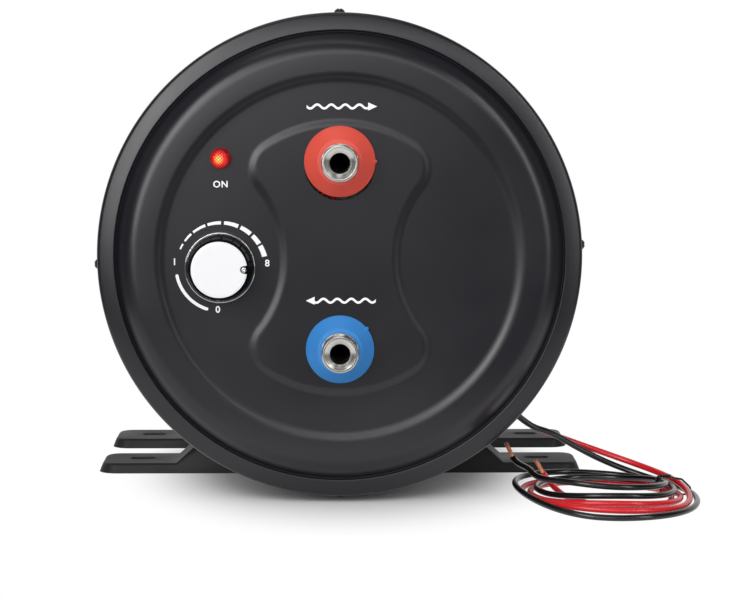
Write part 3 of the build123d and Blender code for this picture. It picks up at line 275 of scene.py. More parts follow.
@dataclass(frozen=True)
class LitLens(Finish):
    """Red lamp lens with a bright core: glow falls off from a place behind the lens.

    core is the place of the filament's image, and reach the distance over which its light runs through the
    ramp's stops. facet is the pitch of the lens's small squares, and lean their turn in radians. Between the
    two edges of a square its strength falls from the first share of light to the second.
    """

    core: Triple = (0.0, 0.0, 0.0)
    reach: float = 6.0
    stops: tuple[tuple[float, str], ...] = ((0.12, "#FFDC70"), (0.48, "#FA1A0A"), (0.9, "#7A0000"))
    facet: float = 1.25
    lean: float = 0.75
    edges: Pair = (0.12, 0.6)
    light: Pair = (1.3, 0.25)
    strength: float = 1.0

    def dress(self, tree: NodeTree, shader: Node) -> None:
        """Distance from the core runs through the ramp, and a leaning grid dims the facets' edges."""
        place = add_node(tree, "ShaderNodeTexCoord").outputs["Object"]
        away = add_node(tree, "ShaderNodeVectorMath", {
            "operation": "DISTANCE", 1: tuple(value * MM for value in self.core)}, {0: place})
        share = add_node(tree, "ShaderNodeMapRange", {"From Min": 0.0, "From Max": self.reach * MM},
                         {"Value": away.outputs["Value"]})
        ramp = add_node(tree, "ShaderNodeValToRGB", links={"Fac": share.outputs["Result"]})
        elements = ramp.color_ramp.elements
        while len(elements) < len(self.stops):
            elements.new(1.0)
        for element, (position, colour) in zip(elements, self.stops):
            element.position, element.color = position, to_linear(colour)
        tree.links.new(ramp.outputs["Color"], shader.inputs["Emission Color"])
        leaning = add_node(tree, "ShaderNodeMapping", {
            "Rotation": (0.0, self.lean, 0.0), "Scale": (1.0, 0.0, 1.0)}, {"Vector": place})
        cells = add_node(tree, "ShaderNodeTexVoronoi", {"Scale": 1 / (self.facet * MM), "Randomness": 0.0},
                         {"Vector": leaning.outputs["Vector"]})
        glow = add_node(tree, "ShaderNodeMapRange", {
            "From Min": self.edges[0], "From Max": self.edges[1],
            "To Min": self.light[0] * self.strength, "To Max": self.light[1] * self.strength},
            {"Value": cells.outputs["Distance"]})
        tree.links.new(glow.outputs["Result"], shader.inputs["Emission Strength"])


# Powder-coated sheet steel: baked satin black with a faint orange peel. The grain of the real coat is about
# 0.3 mm; it is drawn coarser so that it shows.
POWDER_COAT = Grained("powder_coat_satin_black", "#17161C", 0.33, grain=1.1, depth=0.006, cloud=60.0)
# The feet carry a rougher, duller coat than the drum.
FOOT_PAINT = Grained("powder_coat_matt_black", "#1D1E1F", 0.55, specular=0.3, grain=1.3, cloud=30.0)
SCREW_PAINT = Grained("painted_screw_black", "#161617", 0.38, grain=0.6, depth=0.01, cloud=8.0)
RUBBER = Grained("moulded_rubber_black", "#141414", 0.62, grain=0.5, cloud=6.0)
# Moulded polypropylene collars: even colour, soft gloss, faint flow marks.
RED_COLLAR, BLUE_COLLAR = [
    Grained(f"moulded_polypropylene_{name}", colour, 0.42, grain=0.7, depth=0.008, cloud=14.0, tone=0.05)
    for name, colour in (("red", "#DE5244"), ("blue", "#3885CD"))]
WHITE_CAP = Grained("moulded_abs_white", "#E6E6E8", 0.34, depth=0.004, cloud=20.0, tone=0.015)
KNOB_BLACK = Grained("moulded_abs_satin_black", "#080809", 0.2, specular=0.05, grain=1.0, depth=0.002,
                     cloud=10.0)
MOULDING = Grained("moulded_phenolic_black", "#1B1A19", 0.5, grain=0.6, depth=0.015, cloud=9.0)
TIE_PLASTIC = Grained("extruded_nylon_black", "#111112", 0.4, grain=0.8, depth=0.01, cloud=5.0)
# Cut rigid foam: open cells of about a millimetre, pale straw colour.
FOAM = Grained("cut_rigid_foam", "#DCCF9E", 0.9, grain=1.6, depth=0.3, cloud=30.0, tone=0.12)
# Soft wire insulation: extruded, fairly glossy, with faint length-wise waves.
RED_WIRE = Grained("extruded_insulation_red", "#CF1D26", 0.26, grain=1.4, depth=0.01, cloud=18.0, tone=0.1)
BLACK_WIRE = Grained("extruded_insulation_black", "#0B0B0C", 0.2, grain=1.4, depth=0.01, cloud=18.0)
WHITE_INK = Grained("screen_printed_ink_white", "#F4F4F4", 0.5, grain=0.5, depth=0.003, cloud=6.0, tone=0.02)
# Turned stainless steel stubs: fine tool marks round the axis.
TURNED_STEEL = Drawn("turned_stainless_steel", "#D0CEC9", 0.27, marks=(0.35, 0.35, 2.0), lathe=True,
                     depth=0.002, tone=0.12)
ROLLED_STEEL = Drawn("rolled_stainless_sheet", "#C4C3BF", 0.36, marks=(30.0, 0.8, 30.0))
PLATED_STEEL = Drawn("zinc_plated_steel", "#C9C6BA", 0.34, marks=(2.0, 2.0, 2.0))
CHROME = Drawn("polished_chrome_plate", "#E6E7EA", 0.07, marks=(6.0, 6.0, 6.0), depth=0.001, tone=0.02)
BRASS = Drawn("machined_brass", "#C9A45A", 0.3, marks=(4.0, 0.4, 4.0))
COPPER = Drawn("drawn_copper", "#C98A6C", 0.34, marks=(0.6, 0.6, 3.0), tone=0.14)
# Lit acrylic lens: the lamp's core shows yellow through red facets.
LENS = LitLens("lit_acrylic_lens_red", "#4A0202", 0.16, ior=1.49, reach=6.6, strength=1.15,
               core=(-68.7, -173.75, 200.8))

SLOT_FINISHES: dict[str, Finish] = {
    "black_paint": POWDER_COAT, "black_screw": SCREW_PAINT, "black_rubber": RUBBER,
    "tank_steel": ROLLED_STEEL, "pipe_steel": TURNED_STEEL, "red_collar": RED_COLLAR,
    "blue_collar": BLUE_COLLAR, "foam": FOAM, "brass": BRASS, "copper": COPPER, "black_moulding": MOULDING,
    "plated_steel": PLATED_STEEL, "knob_chrome": CHROME, "white_cap": WHITE_CAP, "red_lens": LENS,
    "red_insulation": RED_WIRE, "black_insulation": BLACK_WIRE, "tie_plastic": TIE_PLASTIC,
}


# Meshes from arrays

def grid_faces(rows: int, columns: int, row_loop: bool, column_loop: bool) -> Array:
    """Quads of a grid of points.

    Args:
        rows: number of rows of points.
        columns: number of points in a row.
        row_loop: the last row joins the first.
        column_loop: the last point of a row joins its first.

    Returns:
        Four point numbers for each quad.
    """
    row = np.arange(rows if row_loop else rows - 1)[:, None]
    column = np.arange(columns if column_loop else columns - 1)[None]
    after_row, after_column = (row + 1) % rows, (column + 1) % columns
    return np.stack([row * columns + column, row * columns + after_column,
                     after_row * columns + after_column, after_row * columns + column], -1).reshape(-1, 4)


def smooth(mesh: Mesh) -> Mesh:
    """Smooth shading with sharp edges kept."""
    mesh.polygons.foreach_set("use_smooth", np.ones(len(mesh.polygons), dtype=bool))
    mesh.set_sharp_from_angle(angle=SMOOTH_ANGLE)
    return mesh


def new_mesh(name: str, points: Array, faces: Array) -> Mesh:
    """Smooth-shaded mesh with merged doubles and faces that point outwards.

    Args:
        name: name of the mesh.
        points: places in millimetres, one row each.
        faces: point numbers of each face.

    Returns:
        The mesh, in metres.
    """
    mesh = bpy.data.meshes.new(name)
    mesh.from_pydata((points * MM).tolist(), [], faces.tolist())
    shape = bmesh.new()
    shape.from_mesh(mesh)
    bmesh.ops.remove_doubles(shape, verts=shape.verts, dist=SAME_POINT)
    bmesh.ops.dissolve_degenerate(shape, edges=shape.edges, dist=SAME_POINT)
    bmesh.ops.recalc_face_normals(shape, faces=shape.faces)
    shape.to_mesh(mesh)
    shape.free()
    return smooth(mesh)


def merged_copy(node: Object, name: str) -> Mesh:
    """Copy of a solid's mesh with its loose triangles joined, for smooth shading."""
    mesh = node.data.copy()
    mesh.name = name
    shape = bmesh.new()
    shape.from_mesh(mesh)
    bmesh.ops.remove_doubles(shape, verts=shape.verts, dist=SAME_CORNER)
    shape.to_mesh(mesh)
    shape.free()
    mesh.materials.clear()
    return smooth(mesh)


def vertex_places(mesh: Mesh) -> Array:
    """Places of a mesh's points in metres, one row each."""
    flat = np.zeros(len(mesh.vertices) * 3, np.float32)
    mesh.vertices.foreach_get("co", flat)
    return flat.reshape(-1, 3)


def move_vertices(mesh: Mesh, places: Array) -> None:
    """Put a mesh's points at new places in metres."""
    mesh.vertices.foreach_set("co", places.astype(np.float32).ravel())
    mesh.update()


def joined(*grids: Grid) -> Grid:
    """Points and faces of several grids as one."""
    starts = np.cumsum([0] + [len(points) for points, _ in grids[:-1]])
    faces = [part + start for (_, part), start in zip(grids, starts)]
    return np.concatenate([points for points, _ in grids]), np.concatenate(faces)


def rounded(corners: list[Triple], steps: int = 7) -> Array:
    """Profile with rounded corners: each corner becomes an arc tangent to its two sides.

    Args:
        corners: two coordinates and a radius for each corner; the ends have radius 0.
        steps: points of each arc.

    Returns:
        Profile points, one row each.
    """
    data = np.array(corners, float)
    made = [data[:1, :2]]
    for before, here, after in zip(data[:-2], data[1:-1], data[2:]):
        corner, radius = here[:2], here[2]
        if radius == 0:
            made.append(corner[None])
            continue
        inward, onward = before[:2] - corner, after[:2] - corner
        inward, onward = inward / np.linalg.norm(inward), onward / np.linalg.norm(onward)
        half = math.acos(np.clip(inward @ onward, -1, 1)) / 2
        middle = corner + (inward + onward) / np.linalg.norm(inward + onward) * radius / math.sin(half)
        first = corner + inward * radius / math.tan(half) - middle
        last = corner + onward * radius / math.tan(half) - middle
        share = np.linspace(0, 1, steps)[:, None]
        spread = math.pi - 2 * half
        arc = first * np.sin((1 - share) * spread) + last * np.sin(share * spread)
        made.append(middle + arc / math.sin(spread))
    made.append(data[-1:, :2])
    return np.concatenate(made)


def refined(profile: Array, step: float) -> Array:
    """Profile with points added so that none are further apart than a step."""
    spans = np.linalg.norm(np.diff(profile, axis=0), axis=1)
    counts = np.maximum(1, np.ceil(spans / step)).astype(int)
    parts = [start + (end - start) * (np.arange(count) / count)[:, None]
             for start, end, count in zip(profile, profile[1:], counts)]
    return np.concatenate(parts + [profile[-1:]])


def turned(profile: Array, centre: Pair, steps: int, loop: bool = True, ripple: Ripple | None = None) -> Grid:
    """Surface of revolution about an axis along Y: radius from the profile, angle all round.

    Args:
        profile: radius and Y of each profile point.
        centre: X and Z of the axis.
        steps: points round the axis.
        loop: the profile's end joins its start.
        ripple: radii where the surface isn't round.

    Returns:
        Points and faces.
    """
    angle = np.linspace(0, 2 * math.pi, steps, endpoint=False)[None]
    radius = np.repeat(profile[:, :1], steps, axis=1)
    if ripple is not None:
        radius = ripple(np.repeat(angle, len(profile), axis=0), profile)
    points = np.stack([centre[0] + radius * np.cos(angle), np.repeat(profile[:, 1:2], steps, axis=1),
                       centre[1] + radius * np.sin(angle)], -1)
    return points.reshape(-1, 3), grid_faces(len(profile), steps, loop, True)


def mark_turned(mesh: Mesh, centre: Pair) -> Mesh:
    """Attribute for a lathe's marks: radius, place along the axis, and cosine of the angle in millimetres.

    Args:
        mesh: turned mesh, in metres.
        centre: X and Z of its axis, in millimetres.

    Returns:
        The same mesh.
    """
    x, y, z = vertex_places(mesh).T - np.array([[centre[0] * MM], [0.0], [centre[1] * MM]])
    radius = np.hypot(x, z)
    values = np.stack([radius, y, MM * x / np.maximum(radius, 1e-6)], 1)
    marks = mesh.attributes.new(LATHE, "FLOAT_VECTOR", "POINT")
    marks.data.foreach_set("vector", values.astype(np.float32).ravel())
    return mesh


def across(way: Array, aside: Triple) -> tuple[Array, Array]:
    """Two directions across a way: square to it and to a direction aside, and square to both."""
    side = np.cross(way, aside)
    side /= np.linalg.norm(side, axis=-1, keepdims=True)
    return side, np.cross(way, side)


def tube(path: Array, radius: float, sides: int, aside: Triple = (0.3, 0.9, 0.31)) -> Grid:
    """Round tube with pointed ends: a circle across the path's direction at each of its points."""
    along = np.gradient(path, axis=0)
    along /= np.linalg.norm(along, axis=1, keepdims=True)
    side, up = across(along, aside)
    angle = np.linspace(0, 2 * math.pi, sides, endpoint=False)
    ring = np.cos(angle)[None, :, None] * side[:, None] + np.sin(angle)[None, :, None] * up[:, None]
    width = np.full((len(path), 1, 1), radius)
    width[[0, -1]] = 0.0
    points = path[:, None] + ring * width
    return points.reshape(-1, 3), grid_faces(len(path), sides, False, True)


def twisted(base: Array, axes: tuple[Array, Array, Array], along: Array, radius: Array | float,
            angle: Array) -> Array:
    """Points of a twisted strand: along a way by lengths, and off it by radii at angles.

    Args:
        base: where the way starts.
        axes: direction of the way, and the two directions across it.
        along: length of each point.
        radius: distance of each point, or of all, from the way.
        angle: angle of each point about the way.

    Returns:
        Points, one row each.
    """
    way, side, up = axes
    ring = np.cos(angle)[:, None] * side + np.sin(angle)[:, None] * up
    return base + along[:, None] * way + np.reshape(radius, (-1, 1)) * ring


def front_y(height: Array | float) -> Array | float:
    """Y of a height above the front end of the shell."""
    return DRUM_MIDDLE[1] - SHELL_LENGTH / 2 - height


def forward(outline: Array) -> Array:
    """Profile of radius and Y from an outline of radius and height above the front end of the shell."""
    return np.stack([outline[:, 0], front_y(outline[:, 1])], 1)


def link_new(name: str, data: ID) -> Object:
    """New object in the scene."""
    obj = bpy.data.objects.new(name, data)
    bpy.context.scene.collection.objects.link(obj)
    return obj


def evaluated(obj: Object) -> Mesh:
    """Mesh of an object with its modifiers or its font applied."""
    return bpy.data.meshes.new_from_object(obj.evaluated_get(bpy.context.evaluated_depsgraph_get()))


def dress(obj: Object, finish: Finish) -> None:
    """Give an object one finish."""
    obj.data.materials.clear()
    obj.data.materials.append(finish.material())


def add_piece(name: str, data: ID, finish: Finish, body: Body, nodes: tuple[str, ...] = ()) -> Object:
    """Put a piece into the scene.

    Args:
        name: name of the piece.
        data: mesh or curve, already in its place.
        finish: its material.
        body: body that it moves with.
        nodes: solids that it stands for.

    Returns:
        The object.
    """
    obj = link_new(name, data)
    dress(obj, finish)
    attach(obj, body.value)
    if nodes:
        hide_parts(*nodes)
    LOG.info("%s rides on %s and stands for %s", name, body.value, ", ".join(nodes) or "no solid")
    return obj


# Casing

@dataclass
class Hourglass:
    """Raised hourglass of the front panel: tangent arcs, with a sloping edge."""

    top_r: float = 77.5
    lobe_r: float = 16.0
    waist_r: float = 66.8
    waist_half: float = 32.2
    slope: float = 5.4
    height: float = PLATEAU_HEIGHT - PANEL_HEIGHT

    def depth(self, x: Array, z: Array) -> Array:
        """Distance inside the outline: from the circle of top, lobe or waist, whichever faces the point."""
        waist_x = self.waist_half + self.waist_r
        far, near = self.top_r - self.lobe_r, self.waist_r + self.lobe_r
        lobe_x = (far**2 - near**2 + waist_x**2) / (2 * waist_x)
        lobe_z = math.sqrt(far**2 - lobe_x**2)
        aside, up = np.abs(x), np.abs(z)
        above = lobe_x * up - lobe_z * aside > 0
        below = (waist_x - lobe_x) * (up - lobe_z) + lobe_z * (aside - lobe_x) < 0
        top = self.top_r - np.hypot(aside, up)
        lobe = self.lobe_r - np.hypot(aside - lobe_x, up - lobe_z)
        waist = np.hypot(aside - waist_x, up) - self.waist_r
        return np.where(above, top, np.where(below, waist, lobe))

    def rise(self, x: Array, z: Array) -> Array:
        """Height of the press: a smooth step across the slope."""
        share = np.clip(self.depth(x, z) / self.slope + 0.5, 0, 1)
        return self.height * share**2 * (3 - 2 * share)


@dataclass
class EndCover:
    """Pressed end cover: skirt, rim, lip, groove, shoulder and stepped panel, with an hourglass or plain.

    holes are X, height above the axis and radius. corners are radius, height and rounding of the outside.
    """

    name: str
    node: str
    hourglass: Hourglass | None = None
    holes: tuple[Triple, ...] = ()
    corners: list[Triple] = field(default_factory=lambda: [
        (140.0, -16.0, 0.0), (140.0, 2.6, 3.0), (129.9, 5.0, 0.7), (129.1, 2.6, 0.25), (122.0, 12.8, 12.0),
        (105.2, 13.0, 9.5), (101.4, 11.5, 9.5), (0.0, 11.5, 0.0)])
    steps: int = 480
    inside_arc: int = 4
    slope_zone: Pair = (84.0, 27.0)
    plain_rows: int = 5
    fine: float = 0.5
    coarse: float = 4.0

    def section(self) -> Array:
        """Closed section: the outside from skirt to middle, and back inside, a sheet's thickness away."""
        outside = self.panel_rows(rounded(self.corners), self.fine)
        plain = rounded(self.corners, self.inside_arc)
        along = np.gradient(plain, axis=0)
        inside = plain + np.stack([along[:, 1], -along[:, 0]], 1) / np.hypot(*along.T)[:, None] * -SHEET
        inside[0] = self.corners[0][0] - SHEET, self.corners[0][1]
        inside[-1] = 0.0, self.corners[-1][1] - SHEET
        return np.concatenate([outside, self.panel_rows(inside, self.coarse)[::-1]])

    def panel_rows(self, profile: Array, step: float) -> Array:
        """Profile with rows added on the flat panel: a step apart on the hourglass's slope, few elsewhere."""
        if self.hourglass is None:
            return profile
        outer, inner = self.slope_zone
        added = np.concatenate([
            np.linspace(profile[-2, 0], outer, self.plain_rows)[1:], np.arange(outer - step, inner, -step),
            np.linspace(inner, 0.0, self.plain_rows)])
        return np.concatenate([profile[:-1], np.stack([added, np.full_like(added, profile[-1, 1])], 1)])

    def mesh(self) -> Mesh:
        """Section turned about the drum's axis, its panel raised by the hourglass."""
        points, faces = turned(self.section(), (0.0, 0.0), self.steps)
        x, height, z = points.T
        way = 1
        if self.hourglass:
            height = height + np.where(np.hypot(x, z) < self.corners[-2][0], self.hourglass.rise(x, z), 0.0)
            way = -1
        points = np.stack([x, way * (SHELL_LENGTH / 2 + height), z], 1) + DRUM_MIDDLE
        return new_mesh(self.name, points, faces)

    def build(self) -> None:
        """Make the cover and cut its holes."""
        obj = add_piece(self.name, self.mesh(), POWDER_COAT, Body.HEATER, (self.node,))
        for x, z, radius in self.holes:
            cut_hole(obj, (x, z + DRUM_MIDDLE[2]), radius)
        smooth(obj.data)


def cut_hole(obj: Object, centre: Pair, radius: float, below: float = 8.0, above: float = 6.0,
             steps: int = 96) -> None:
    """Cut a round hole along Y through the front cover's panel.

    Args:
        obj: the cover.
        centre: X and Z of the hole.
        radius: its radius.
        below: how far the cutter reaches behind the panel.
        above: how far it reaches out of the hourglass.
        steps: points round the hole.
    """
    low, high = PANEL_HEIGHT - below, PLATEAU_HEIGHT + above
    outline = np.array([(0.0, low), (radius, low), (radius, high), (0.0, high)])
    cutter = link_new("cutter", new_mesh("cutter", *turned(forward(outline), centre, steps, loop=False)))
    cut = obj.modifiers.new("hole", "BOOLEAN")
    cut.operation, cut.solver, cut.object = "DIFFERENCE", "EXACT", cutter
    mesh = evaluated(obj)
    obj.modifiers.remove(cut)
    obj.data = mesh
    bpy.data.objects.remove(cutter)


@dataclass
class Shell:
    """Rolled shell between the covers."""

    steps: int = 360
    row: float = 40.0

    def build(self) -> None:
        """Round tube with a sheet's thickness."""
        front, rear = DRUM_MIDDLE[1] + np.array([-1, 1]) * SHELL_LENGTH / 2
        inside = SHELL_R - SHEET
        profile = np.array([(SHELL_R, front), (SHELL_R, rear), (inside, rear), (inside, front)])
        grid = turned(refined(profile, self.row), (0.0, DRUM_MIDDLE[2]), self.steps)
        mesh = new_mesh("shell", *grid)
        add_piece("shell", mesh, POWDER_COAT, Body.HEATER, ("outer_shell",))


@dataclass
class SmoothedSolids:
    """Solids that keep their shape and get smooth shading; the feet's walls also lean outwards."""

    nodes: dict[str, str] = field(default_factory=lambda: {
        "front_foot": "foot_front", "rear_foot": "foot_rear", "front_cover_screws": "screws_front",
        "rear_cover_screws": "screws_rear", "cable_grommet": "grommet"})
    foot_height: float = 6.0
    foot_corner: float = 9.0
    foot_wall: float = 2.6
    flare: float = 2.4

    def flared(self, mesh: Mesh) -> Mesh:
        """Foot whose walls lean: each low wall point moves away from the outline's core by its depth.

        Args:
            mesh: copy of a foot, in metres.

        Returns:
            The same mesh, leaning by the flare at the floor and by nothing at the top plate.
        """
        points = vertex_places(mesh) / MM
        low, high = points[:, :2].min(axis=0), points[:, :2].max(axis=0)
        offset = points[:, :2] - (low + high) / 2
        reach = np.maximum(np.abs(offset) - ((high - low) / 2 - self.foot_corner), 0)
        length = np.hypot(*reach.T)[:, None]
        on_wall = length > self.foot_corner - self.foot_wall
        share = np.clip(1 - points[:, 2:] / self.foot_height, 0, 1) * on_wall
        points[:, :2] += self.flare * share * np.sign(offset) * reach / np.maximum(length, 1e-6)
        move_vertices(mesh, points * MM)
        return smooth(mesh)

    def build(self, frame: dict[str, Any], slots: dict[str, str]) -> None:
        """Merged copies in the finish of their slots."""
        for node, name in self.nodes.items():
            mesh = merged_copy(frame["nodes"][node], name)
            finish = SLOT_FINISHES[slots[node]]
            if node.endswith("foot"):
                mesh, finish = self.flared(mesh), FOOT_PAINT
            add_piece(name, mesh, finish, Body.HEATER, (node,))


# Pipes

@dataclass
class PipeStub:
    """Threaded stub with its coloured collar, whose moulding gate sits at an angle in degrees."""

    name: str
    z: float
    finish: Finish
    slot: str
    gate_angle: float
    thread_r: float = 10.48
    bore_r: float = 5.8
    stem_r: float = 10.3
    pitch: float = 1.814
    thread_depth: float = 1.0
    tip_height: float = 38.7
    thread_length: float = 14.0
    chamfer: float = 0.6
    mouth_r: float = 8.9
    mouth_depth: float = 2.2
    inner_end: float = -102.65
    pitch_rows: int = 10
    plain_row: float = 30.0
    stub_steps: int = 120
    collar_r: float = 20.3
    collar_rim: float = 1.6
    collar_top_r: float = 12.7
    collar_height: float = 10.5
    collar_wall: float = 2.0
    collar_gap: float = 0.25
    collar_row: float = 2.0
    collar_steps: int = 360
    gate_height: float = 1.0
    gate_half: float = 0.9
    gate_zone: float = 0.6

    def stub_mesh(self) -> Mesh:
        """Bore, mouth, thread and stem: the thread's depth is a triangle wave of Y less a turn's share."""
        tip, chamfer = front_y(self.tip_height), self.chamfer
        first, last = tip + chamfer, tip + self.thread_length
        face = rounded([(self.bore_r, self.inner_end, 0.0), (self.bore_r, tip + self.mouth_depth, 0.5),
                        (self.mouth_r, tip, 0.25), (self.thread_r - chamfer, tip, 0.2),
                        (self.thread_r, first, 0.2), (self.thread_r, last, 0.0),
                        (self.stem_r, last, 0.0), (self.stem_r, self.inner_end, 0.0)], 5)
        radius, y = face.T
        start = int(np.argmax((radius > self.thread_r - 0.2) & (y > tip + 1e-6)))
        end = int(np.argmin(np.abs(y - tip - self.thread_length) + np.abs(radius - self.thread_r))) + 1
        profile = np.concatenate([
            refined(face[:start], self.plain_row), refined(face[start:end], self.pitch / self.pitch_rows),
            refined(face[end:], self.plain_row)])

        def ripple(angle: Array, rows: Array) -> Array:
            """Radii of the rows, lowered by the thread where they lie on it."""
            radius, y = rows[:, :1], rows[:, 1:2]
            wave = np.abs(((y - first) / self.pitch - angle / (2 * math.pi)) % 1.0 - 0.5) * 2
            on_thread = (radius > self.thread_r - 1e-6) & (y > first) & (y < last)
            fade = np.clip((y - first) / self.pitch, 0, 1)
            return radius - np.where(on_thread, self.thread_depth * wave * fade, 0.0)

        centre = (0.0, self.z)
        grid = turned(profile, centre, self.stub_steps, ripple=ripple)
        return mark_turned(new_mesh(f"{self.name}_stub", *grid), centre)

    def collar_mesh(self) -> Mesh:
        """Cone with a rolled rim, a bore on the stub and a small moulding gate on the rim."""
        low, top = PLATEAU_HEIGHT, PLATEAU_HEIGHT + self.collar_height
        inside, bore = self.collar_r - self.collar_wall, self.stem_r + self.collar_gap
        outline = rounded([(inside, low, 0.0), (self.collar_r, low, 0.4),
                           (self.collar_r, low + self.collar_rim, 0.7), (self.collar_top_r, top, 0.6),
                           (bore, top, 0.0), (bore, top - self.collar_wall, 0.0), (inside, low, 0.0)], 6)[:-1]
        gate = math.radians(self.gate_angle)

        def ripple(angle: Array, rows: Array) -> Array:
            """Radii of the rows, with the gate as a bump on the rim."""
            away = np.abs((angle - gate + math.pi) % (2 * math.pi) - math.pi) * self.collar_r
            bump = self.gate_height * np.exp(-(away / self.gate_half) ** 4)
            return rows[:, :1] + np.where(rows[:, :1] > self.collar_r - self.gate_zone, bump, 0.0)

        profile = refined(forward(outline), self.collar_row)
        grid = turned(profile, (0.0, self.z), self.collar_steps, ripple=ripple)
        return new_mesh(f"{self.name}_collar", *grid)

    def build(self) -> None:
        """Make the stub and its collar."""
        for piece, node, mesh, finish, slot in (
                ("stub", "nipple", self.stub_mesh(), TURNED_STEEL, "pipe_steel"),
                ("ring", "collar", self.collar_mesh(), self.finish, self.slot)):
            add_piece(f"{self.name}_{piece}", mesh, finish, Body.HEATER, (f"{self.name}_{node}",))


# Controls

@dataclass
class Knob:
    """Thermostat knob: plated ring round the foot of a black body, white cap with a notch, and stud."""

    centre: Pair = DIAL
    foot: float = 12.5
    face: float = 27.7
    radius: float = 20.25
    ring_r: float = 19.6
    ring_height: float = 3.0
    ring_bevel: float = 0.35
    skirt_r: float = 19.55
    skirt_wall: float = 1.0
    top_r: float = 17.2
    wall: float = 2.2
    recess: float = 0.9
    cap_r: float = 15.95
    cap_gap: float = 0.15
    cap_lift: float = 0.1
    cap_top: float = 0.6
    hub_r: float = 5.6
    roof: float = 4.6
    pointer_x: float = 14.1
    pointer_r: float = 1.5
    pointer_top: float = 0.5
    notch_r: float = 2.1
    row: float = 3.0
    cap_row: float = 0.12
    steps: int = 240
    cap_steps: int = 720
    pointer_steps: int = 64

    def spun(self, outline: Array) -> Grid:
        """Closed outline of radius and height turned about the knob's axis."""
        return turned(refined(forward(outline), self.row), self.centre, self.steps)

    def ring(self) -> Grid:
        """Plated ring: upright side, a bevel, and a narrow brim against the body."""
        top, bevel = self.foot + self.ring_height, self.ring_bevel
        return self.spun(rounded([
            (self.ring_r, self.foot, 0.0), (self.radius, self.foot, 0.3), (self.radius, top - bevel, 0.4),
            (self.radius - bevel, top, 0.25), (self.ring_r, top, 0.0),
            (self.ring_r, self.foot, 0.0)], 6)[:-1])

    def body(self) -> Grid:
        """Black body: short upright skirt, a cone up to the face, and a sunk seat for the cap."""
        low, roof = self.face - self.recess, self.face - self.roof
        inside, seat = self.skirt_r - self.skirt_wall, self.cap_r + self.cap_gap
        return self.spun(rounded([
            (inside, self.foot, 0.0), (self.skirt_r, self.foot, 0.0),
            (self.skirt_r, self.foot + self.ring_height, 0.8), (self.top_r, self.face, 0.6),
            (seat, self.face, 0.2), (seat, low, 0.0), (self.hub_r, low, 0.0), (self.hub_r, roof, 0.0),
            (self.top_r - self.wall, roof, 0.0), (inside, self.foot, 0.0)], 6)[:-1])

    def cap(self) -> Grid:
        """White cap: rings drawn in from an outline whose radius drops where the notch opens at the right."""
        angle = np.linspace(0, 2 * math.pi, self.cap_steps, endpoint=False)
        signed = (angle + math.pi) % (2 * math.pi) - math.pi
        offset = self.pointer_x * np.sin(signed)
        inside = (np.abs(offset) < self.notch_r) & (np.abs(signed) < 1)
        reach = self.pointer_x * np.cos(signed) - np.sqrt(np.maximum(self.notch_r**2 - offset**2, 0))
        outline = np.where(inside, np.minimum(reach, self.cap_r), self.cap_r)
        top = self.face + self.cap_top
        low = self.face - self.recess + self.cap_lift
        rows = np.array([(0.0, low), (1.0, low), (1.0, top - 0.05), (0.955, top + 0.25), (0.0, top + 0.4)])
        share, height = refined(rows, self.cap_row).T
        points = np.stack([self.centre[0] + share[:, None] * outline * np.cos(angle),
                           np.repeat(front_y(height)[:, None], self.cap_steps, axis=1),
                           self.centre[1] + share[:, None] * outline * np.sin(angle)], -1)
        return points.reshape(-1, 3), grid_faces(len(share), self.cap_steps, False, True)

    def pointer(self) -> Grid:
        """Pointer stud: a short pin with a dimpled, rounded head."""
        low, top = self.face - self.recess, self.face + self.cap_top + self.pointer_top
        outline = rounded([(0.0, low, 0.0), (self.pointer_r, low, 0.0), (self.pointer_r, top, 0.5),
                           (0.7, top, 0.2), (0.0, top - 0.5, 0.0)], 6)
        centre = (self.centre[0] + self.pointer_x, self.centre[1])
        return turned(forward(outline), centre, self.pointer_steps, False)

    def build(self) -> None:
        """Make the knob's pieces."""
        for name, grid, finish, node, slot in (
                ("knob_plated_ring", self.ring(), CHROME, "knob_ring", "knob_chrome"),
                ("knob_black_body", self.body(), KNOB_BLACK, "knob_body", "black_moulding"),
                ("knob_cap_disc", self.cap(), WHITE_CAP, "knob_cap", "white_cap"),
                ("knob_stud", self.pointer(), CHROME, "knob_pointer", "knob_chrome")):
            add_piece(name, new_mesh(name, *grid), finish, Body.KNOB, (node,))


